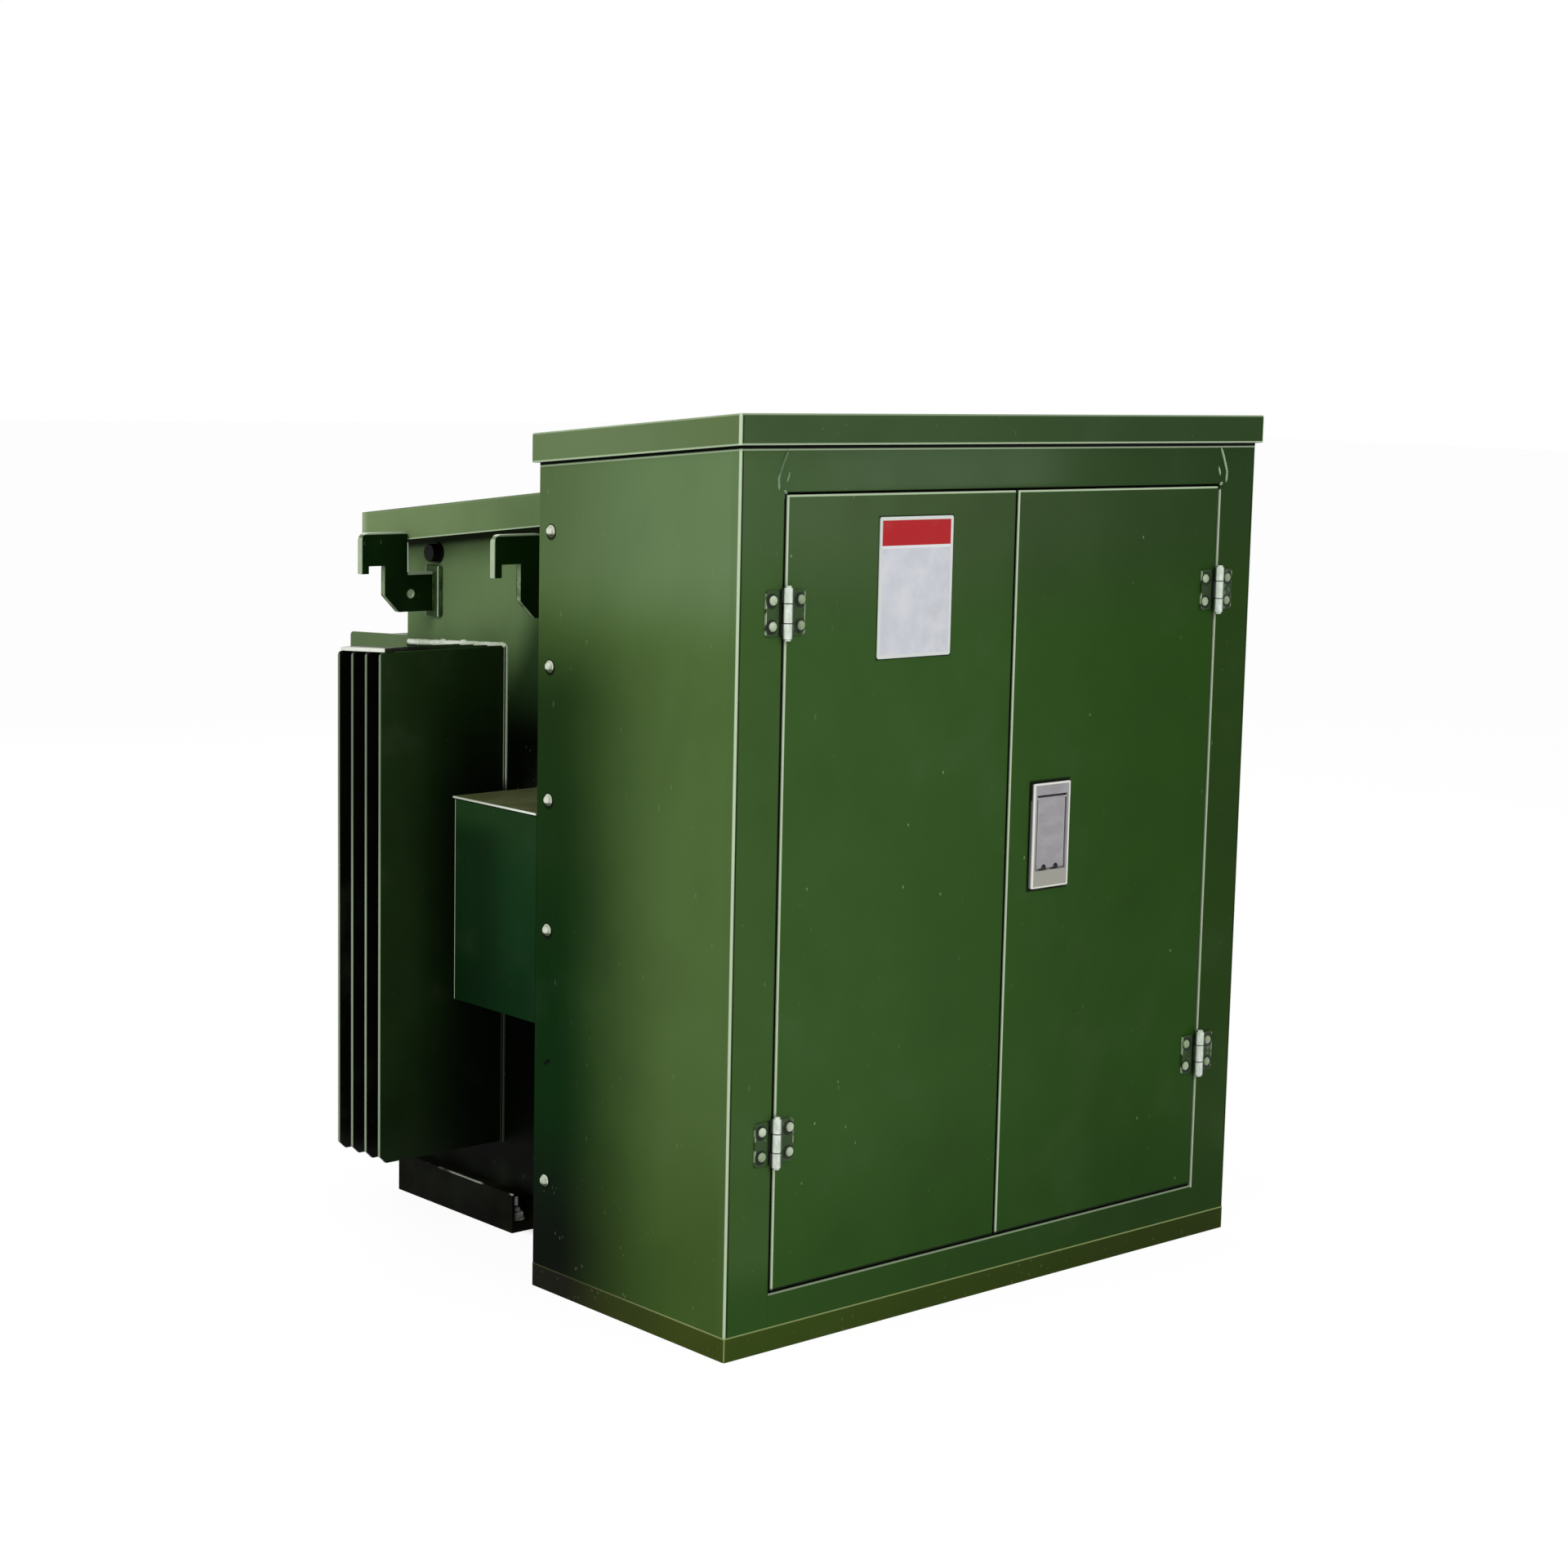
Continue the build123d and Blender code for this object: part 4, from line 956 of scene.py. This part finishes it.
def fin_tones(x, y, z, place):
    # Painted shade deepens towards the tank, behind the front fins and low down; painted light lies high up
    # and on the rear bank's outer end.
    out = abs(x)
    face = out.ease(0.60, 0.80).blend(colour(9, 15, 6), colour(30, 50, 21))
    face = (z.ease(0.95, 1.32) * 0.8).blend(face, colour(30, 50, 20))
    face = (z.ease(0.55, 0.20) * 0.5).blend(face, colour(8, 14, 5))
    behind = y.ease(fins_low.y + 0.006, fins_low.y + 0.010) * out.ease(0.60, 0.70)
    face = behind.blend(face, colour(7, 9, 5))
    rear_end = out.ease(0.495, 0.499) * y.ease(tank_high.y + 0.004, tank_high.y + 0.008)
    crest = z.ease(0.85, 1.29).blend(colour(26, 46, 18), colour(88, 110, 70))
    return rear_end.blend(face, crest)


def fin_marks(x, y, z, place):
    # Painted highlights on the outer folds, fading low down.
    fold = abs(x).near(fin_outer - 0.0004, 0.0018) * 0.55
    rear_fold = y.near(rear_fins_back - 0.0004, 0.0018) * 0.45
    fade = z.ease(1.05, 0.70) * 0.4 + 0.6
    return [((fold + rear_fold).least(1.0) * fade, WEAR_AND_HIGHLIGHT)]


fin_enamel = enamel("fin_enamel", fin_tones, fin_marks, rough=0.42, specular=0.10, dust=0.25, cloud=0.20)
wear(fin_enamel, "fin_bank_left", "fin_bank_right", "fin_bank_rear")


def panel_tones(x, y, z, place):
    rear = (y - cabinet_back).ease(0.70, 0.80)
    return rear.blend(colour(4, 9, 2), colour(20, 36, 14))


def panel_marks(x, y, z, place):
    above_box = z.ease(lid_top - 0.02, lid_top + 0.02) * 0.9 + 0.1
    edge = y.near(panel_low.y + 0.0015, 0.0030) * above_box
    inner = y.near(panel_low.y + 0.0105, 0.0022) * above_box * 0.4
    return [(edge * 0.85, WEAR_AND_HIGHLIGHT), (inner, WEAR_AND_HIGHLIGHT)]


wear(enamel("panel_enamel", panel_tones, panel_marks, rough=0.5, specular=0.03, dust=0.2), "fin_panels")


def bar_tones(x, y, z, place):
    # Painted highlights on the bars' sides and ends.
    side = abs(x).near(bars_high.x, 0.0022)
    end = y.near(bars_high.y, 0.0022) * 0.5
    olive = place.noise(20.0, 4.0).ease(0.35, 0.65).blend(colour(32, 36, 20), colour(52, 54, 32))
    return side.most(end).blend(olive, colour(236, 240, 228))


wear(enamel("bar_enamel", bar_tones, rough=0.45, dust=0.4), "fin_tie_bars")


# Fin welds: a bead along the top of each fin panel, near white, with two thicker
# knots on either side panel.
FIN_FALL = math.tan(math.radians(3.6))
WELD_OUT = 0.0022


def side_panel_top(y):
    """Height of the side panels' upper edge, which falls to the rear."""
    return fins_high.z - (y - fins_low.y - 0.008) * FIN_FALL


bead_bright = enamel("bead_paint", plain(colour(240, 244, 232), colour(196, 208, 182)), rough=0.4, dust=0.2)
rear_panel_half = tank_half - 0.012
fin_welds = Stock()
for way in (-1, 1):
    out = way * (tank_half + WELD_OUT)
    ends = (panel_low.y + 0.004, tank_high.y - 0.006)
    path = [(out, y, side_panel_top(y)) for y in ends]
    fin_welds.bead(path, radius=0.0062, seed=61 + way, ripple=0.012)
    for spot in (0.42, 0.62):
        middle = panel_low.y + spot * (tank_high.y - panel_low.y)
        knot = [(out, y, side_panel_top(y) + 0.001) for y in (middle - 0.010, middle + 0.010)]
        fin_welds.bead(knot, radius=0.0085, seed=71 + way, ripple=0.014)
path = [(x, tank_high.y + WELD_OUT, panel_high.z) for x in (-rear_panel_half, rear_panel_half)]
fin_welds.bead(path, radius=0.0044, seed=91, ripple=0.008)
fin_welds.piece("fin_welds", bead_bright, "housing")


# Lifting hooks: flame-cut plates on pads welded to the tank, the front ones a
# little higher than the rear ones. Their cut edges carry painted light, and their
# faces painted shade.
hook_low, hook_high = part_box("lifting_hooks_left")
hook_out = -hook_low.x
HOOK_T = 0.016
FRONT_HOOK_RISE = 0.026
HOOK_RISES = (FRONT_HOOK_RISE, 0.0)
HOOK_STARTS = (hook_low.y, hook_high.y - HOOK_T)


def hook_tones(x, y, z, place):
    """Faces in painted shade, and cut edges in painted light between them."""
    cut = place.noise(60.0, 3.0).ease(0.35, 0.65).blend(colour(92, 112, 78), colour(132, 150, 116))
    face = place.noise(8.0, 4.0).ease(0.35, 0.65).blend(colour(7, 28, 4), colour(14, 38, 9))
    faces = []
    for start in HOOK_STARTS:
        back = start + HOOK_T
        faces.append(y.ease(start + 0.0022, start + 0.0008) * y.ease(start - 0.004, start - 0.001))
        faces.append(y.ease(back - 0.0022, back - 0.0008) * y.ease(back + 0.004, back + 0.001))
    return any_of(faces).blend(cut, face)


def hook_marks(x, y, z, place):
    """Painted highlights on the arrises: along the head, the leg and the foot, and round the eye."""
    leg = abs(x).near(hook_out - 0.0006, 0.0016)
    foot_side = abs(x).ease(tank_half + 0.082, tank_half + 0.078)
    highlights = []
    for start, rise in zip(HOOK_STARTS, HOOK_RISES):
        top = hook_high.z - FRONT_HOOK_RISE + rise
        here = y.near(start + HOOK_T / 2, 0.012)
        head = z.near(top - 0.0008, 0.0036)
        foot = z.near(top - 0.0930, 0.0045) * foot_side
        eye = disc(abs(x) - (tank_half + 0.072), z - (top - 0.139), 0.0112, 0.0096)
        highlights += [head.most(foot) * here, eye * here]
    return [(any_of(highlights) * 0.9, WEAR_AND_HIGHLIGHT), (leg * 0.7, WEAR_AND_HIGHLIGHT)]


hook_enamel = enamel("hook_enamel", hook_tones, hook_marks, rough=0.42, specular=0.06, dust=0.3)
wear(hook_enamel, "lifting_hooks_left", "lifting_hooks_right")


# Hook pads: thick plates behind the hooks, welded to the tank's side. A bead
# runs down each side of a pad, and one down each side of a hook's foot.
PAD_H = 0.115
PAD_BEAD_OUT = 0.0258
FOOT_H = 0.088
pads_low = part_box("hook_pads")[0]


def pad_marks(x, y, z, place):
    face = abs(x).ease(tank_half + 0.006, tank_half + 0.009)
    edges = [abs(y - (start + HOOK_T / 2)).near(0.0235, 0.0022) for start in HOOK_STARTS]
    return [(any_of(edges) * face * 0.8, WEAR_AND_HIGHLIGHT)]


pad_enamel = enamel("pad_enamel", plain(colour(40, 62, 30), colour(58, 82, 44)), pad_marks, rough=0.4)
wear(pad_enamel, "hook_pads")

hook_weld_paint = enamel("hook_weld_paint", plain(colour(26, 40, 18), colour(60, 84, 44)), rough=0.45)
hook_welds = Stock()
for way in (-1, 1):
    for start, rise in zip(HOOK_STARTS, HOOK_RISES):
        pad_z0 = pads_low.z + rise
        middle = start + HOOK_T / 2
        wall = way * (tank_half + 0.001)
        for y in (middle - PAD_BEAD_OUT, middle + PAD_BEAD_OUT):
            path = [(wall, y, pad_z0), (wall, y, pad_z0 + PAD_H)]
            hook_welds.bead(path, radius=0.0042, seed=101 + way)
        foot_z0 = pad_z0 + (PAD_H - FOOT_H) / 2
        out = way * (tank_half + 0.0108)
        for y in (start - 0.0008, start + HOOK_T + 0.0008):
            path = [(out, y, foot_z0), (out, y, foot_z0 + FOOT_H)]
            hook_welds.bead(path, radius=0.0036, seed=111 + way)
hook_welds.piece("hook_welds", hook_weld_paint, "housing")


# Filling plug: a round black cap on the tank's left wall, screwed on a collar.
# Fine ribs run across its rim, which give the hand a grip.
PLUG_R = 0.019
KNURLS = 24


def plug_tones(x, y, z, place):
    return place.noise(40.0, 3.0).ease(0.4, 0.7).blend(colour(6, 9, 5), colour(20, 26, 16))


plug_black = enamel("plug_black", plug_tones, rough=0.4, specular=0.06, dust=0.2)
wear(plug_black, "filling_plug")
plug_low, plug_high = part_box("filling_plug")
plug_mid = (plug_low + plug_high) / 2
rib = [(0.0010, 0.0), (0.0014, 0.001), (0.0014, 0.016), (0.0006, 0.017)]
knurl = Stock()
for number in range(KNURLS):
    angle = 2 * math.pi * number / KNURLS
    y = plug_mid.y + PLUG_R * math.cos(angle)
    z = plug_mid.z + PLUG_R * math.sin(angle)
    knurl.turn((plug_low.x + 0.0005, y, z), (1, 0, 0), rib, count=8)
knurl.piece("filling_plug_knurls", plug_black, "housing")


# Side boxes: closed boxes of blue-green sheet between the cabinet and the fins.
# Their rear outer edges carry a painted highlight, and a dark seam runs under the lids.
box_low, box_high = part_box("side_box_left")


def box_tones(x, y, z, place):
    # Painted light and shade: lighter high up, darker low down and towards the rear.
    high = z.ease(0.86, 1.00).blend(colour(16, 50, 21), colour(26, 54, 24))
    paint = z.ease(0.84, 0.58).blend(high, colour(3, 38, 11))
    far = (y - cabinet_back).ease(0.06, 0.20) * (0.6 - z.ease(0.92, 1.0) * 0.75)
    return far.blend(paint, colour(4, 20, 3))


def box_marks(x, y, z, place):
    corner = y.near(box_high.y - 0.0008, 0.0026) * abs(x).near(half_w - 0.0006, 0.004)
    seam = z.near(box_high.z - 0.0016, 0.0022)
    return [(corner * 0.8, WEAR_AND_HIGHLIGHT), (seam * 0.8, GRIME_AND_SHADE)]


box_enamel = enamel("box_enamel", box_tones, box_marks, rough=0.48, specular=0.02, dust=0.1)
wear(box_enamel, "side_box_left", "side_box_right")


# Side box lids: flat olive plates on the boxes, whose outer edges carry a painted
# highlight. A bead joins each of them to the tank.
lid_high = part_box("side_box_lids")[1]


def lid_tones(x, y, z, place):
    top = place.noise(9.0, 5.0, 0.6).ease(0.35, 0.68).blend(colour(80, 86, 52), colour(100, 106, 72))
    # Painted highlight along the lids' outer edges.
    edge = abs(x).near(lid_high.x, 0.0030)
    strength = y.ease(cabinet_back + 0.24, cabinet_back + 0.02) * 0.45 + 0.55
    return (edge * strength).blend(top, colour(232, 238, 226))


wear(enamel("lid_enamel", lid_tones, rough=0.5, dust=0.6), "side_box_lids")
lid_welds = Stock()
for way in (-1, 1):
    x = way * (tank_half + 0.001)
    path = [(x, box_low.y + 0.004, lid_high.z), (x, lid_high.y - 0.002, lid_high.z)]
    lid_welds.bead(path, radius=0.0036, seed=121 + way)
lid_welds.piece("side_box_welds", weld_paint, "housing")


# Base frame: channel rails and cross members, near black, with painted highlights
# in patches on the rails' top edges. A lug for an anchor bolt is welded in each rail's front end.
rail_low, rail_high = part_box("base_rail_left")


def base_tones(x, y, z, place):
    return place.noise(12.0, 5.0, 0.6).ease(0.38, 0.64).blend(colour(3, 4, 1), colour(12, 11, 4))


def base_marks(x, y, z, place):
    # Painted highlights in patches along the rails' top outer edges.
    patches = place.noise(5.0, 3.0, 0.5).ease(0.50, 0.56)
    edge = z.near(rail_high.z - 0.0010, 0.0026) * abs(x).near(-rail_low.x - 0.0008, 0.0040) * patches
    return [(edge * 0.8, colour(206, 212, 196))]


base_enamel = enamel("base_enamel", base_tones, base_marks, rough=0.6, specular=0.02, dust=0.1)
wear(base_enamel, "base_rail_left", "base_rail_right", "base_cross_members", "tie_down_lugs")


# Anchor bolts: zinc-plated studs that stand in the tie-down lugs and hold the
# frame to the ground, each with a round washer and a hexagon nut.
WASHER_T = 0.0032
lug_low, lug_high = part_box("tie_down_lugs")
anchor_x = (-lug_low.x + -rail_high.x) / 2
anchor_y = lug_low.y + (lug_high.y - lug_low.y) / 2
seat = lug_high.z
washer = [
    (0.0115, 0.0), (0.0200, 0.0), (0.0205, 0.0008), (0.0205, 0.0025), (0.0198, WASHER_T),
    (0.0115, WASHER_T),
]
nut = [
    (0.0100, 0.0), (0.0150, 0.0), (0.0168, 0.0016), (0.0168, 0.0136), (0.0150, 0.0152), (0.0100, 0.0152),
]
stud = [(0.0096, -0.020), (0.0096, 0.0230), (0.0082, 0.0250)]
# The pale zinc is painted brighter still, as a painted highlight.
anchor_tones = plain(colour(236, 238, 230), colour(176, 180, 164))
anchor_zinc = enamel("anchor_zinc", anchor_tones, rough=0.4, dust=0.2)
for side, way in (("left", -1), ("right", 1)):
    anchor = Stock()
    anchor.turn((way * anchor_x, anchor_y, seat), (0, 0, 1), washer, count=28)
    anchor.turn((way * anchor_x, anchor_y, seat + WASHER_T), (0, 0, 1), nut, count=6, start=0.4)
    anchor.turn((way * anchor_x, anchor_y, seat + WASHER_T), (0, 0, 1), stud)
    anchor.piece("anchor_bolt_" + side, anchor_zinc, "housing")


# Bushings: cast epoxy bodies, each held to the bulkhead by four bolts through
# its flange. The three high-voltage ones have ribs round their wells.
FLANGE_R = 0.062
FLANGE_T = 0.010
FLANGE_BOLT_R = 0.050
FLANGE_BOLTS = 4
HV_PITCH = 0.180
LV_PITCH = 0.150
LV_DROP = 0.060
RIBS = 3
RIB_FROM_FLANGE = 0.022
RIB_PITCH = 0.030
WELL_R = 0.0405
WELL_TAPER = 0.0028


def epoxy_tones(x, y, z, place):
    return place.noise(14.0, 4.0, 0.6).ease(0.35, 0.65).blend(colour(86, 44, 30), colour(112, 62, 42))


epoxy = enamel("cast_epoxy", epoxy_tones, rough=0.32, specular=0.5, dust=0.3)
wear(epoxy, "hv_bushings", "lv_bushings")
hv_low, hv_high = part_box("hv_bushings")
lv_low, lv_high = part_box("lv_bushings")
bulkhead_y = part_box("bulkhead")[0].y
hv_mid_z = (hv_low.z + hv_high.z) / 2
hv_centres = [(hv_low.x + FLANGE_R + number * HV_PITCH, hv_mid_z) for number in range(3)]
lv_centres = [
    (lv_low.x + FLANGE_R + number * LV_PITCH, lv_high.z - FLANGE_R - (number % 2) * LV_DROP)
    for number in range(4)
]
bolt_washer = [(0.0125, 0.0), (0.0125, 0.0015), (0.0088, 0.0016)]
hex_head = [(0.0098, 0.0030), (0.0098, 0.0085), (0.0084, 0.0098)]


def hex_bolt(stock, place, axis, turned=0.0):
    """A hexagon head over a round washer, seated at a place."""
    stock.turn(place, axis, bolt_washer)
    stock.turn(place, axis, hex_head, count=6, start=turned)


clamp_bolts = Stock()
for x, z in hv_centres + lv_centres:
    for number in range(FLANGE_BOLTS):
        angle = math.radians(45 + 90 * number)
        bolt_x = x + FLANGE_BOLT_R * math.cos(angle)
        bolt_z = z + FLANGE_BOLT_R * math.sin(angle)
        hex_bolt(clamp_bolts, (bolt_x, bulkhead_y - FLANGE_T, bolt_z), (0, -1, 0), 0.3 * number)
clamp_bolts.piece("bushing_clamp_bolts", latch_zinc, "housing")

crest = [(0.0075, 0.002), (0.0085, 0.004), (0.0075, 0.006)]
ribs = Stock()
for x, z in hv_centres:
    for number in range(RIBS):
        along = FLANGE_T + RIB_FROM_FLANGE + number * RIB_PITCH
        radius = WELL_R - WELL_TAPER * number
        shape = [(radius, 0.0)] + [(radius + out, rise) for out, rise in crest] + [(radius, 0.008)]
        ribs.turn((x, bulkhead_y - along, z), (0, -1, 0), shape, count=36)
ribs.piece("bushing_ribs", epoxy, "housing")


# Terminals and ground pads: tinned copper blades on the low-voltage studs and
# pads on the bulkhead, with hexagon bolts for the cable lugs.
BLADE_BOLT_Y = (0.028, 0.072)
BLADE_BOLT_Z = (-0.022, 0.022)
BLADE_HALF_T = 0.006
PAD_BOLT_X = (-0.014, 0.014)
PAD_MID_FROM_EDGE = 0.030
tinned_tones = plain(colour(168, 168, 160), colour(196, 196, 190))
tinned = enamel("tinned_copper", tinned_tones, rough=0.34, specular=0.5, dust=0.2)
wear(tinned, "lv_terminals", "ground_pads")
blade_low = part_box("lv_terminals")[0]
spade_bolts = Stock()
for x, z in lv_centres:
    for along in BLADE_BOLT_Y:
        for rise in BLADE_BOLT_Z:
            for way in (-1, 1):
                place = (x + way * BLADE_HALF_T, blade_low.y + along, z + rise)
                hex_bolt(spade_bolts, place, (way, 0, 0), 0.2)
spade_bolts.piece("terminal_bolts", latch_zinc, "housing")
ground_low, ground_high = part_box("ground_pads")
ground_mid_z = (ground_low.z + ground_high.z) / 2
ground_bolts = Stock()
for way in (-1, 1):
    for offset in PAD_BOLT_X:
        x = way * (ground_high.x - PAD_MID_FROM_EDGE) + offset
        hex_bolt(ground_bolts, (x, ground_low.y, ground_mid_z), (0, -1, 0))
ground_bolts.piece("ground_pad_bolts", latch_zinc, "housing")
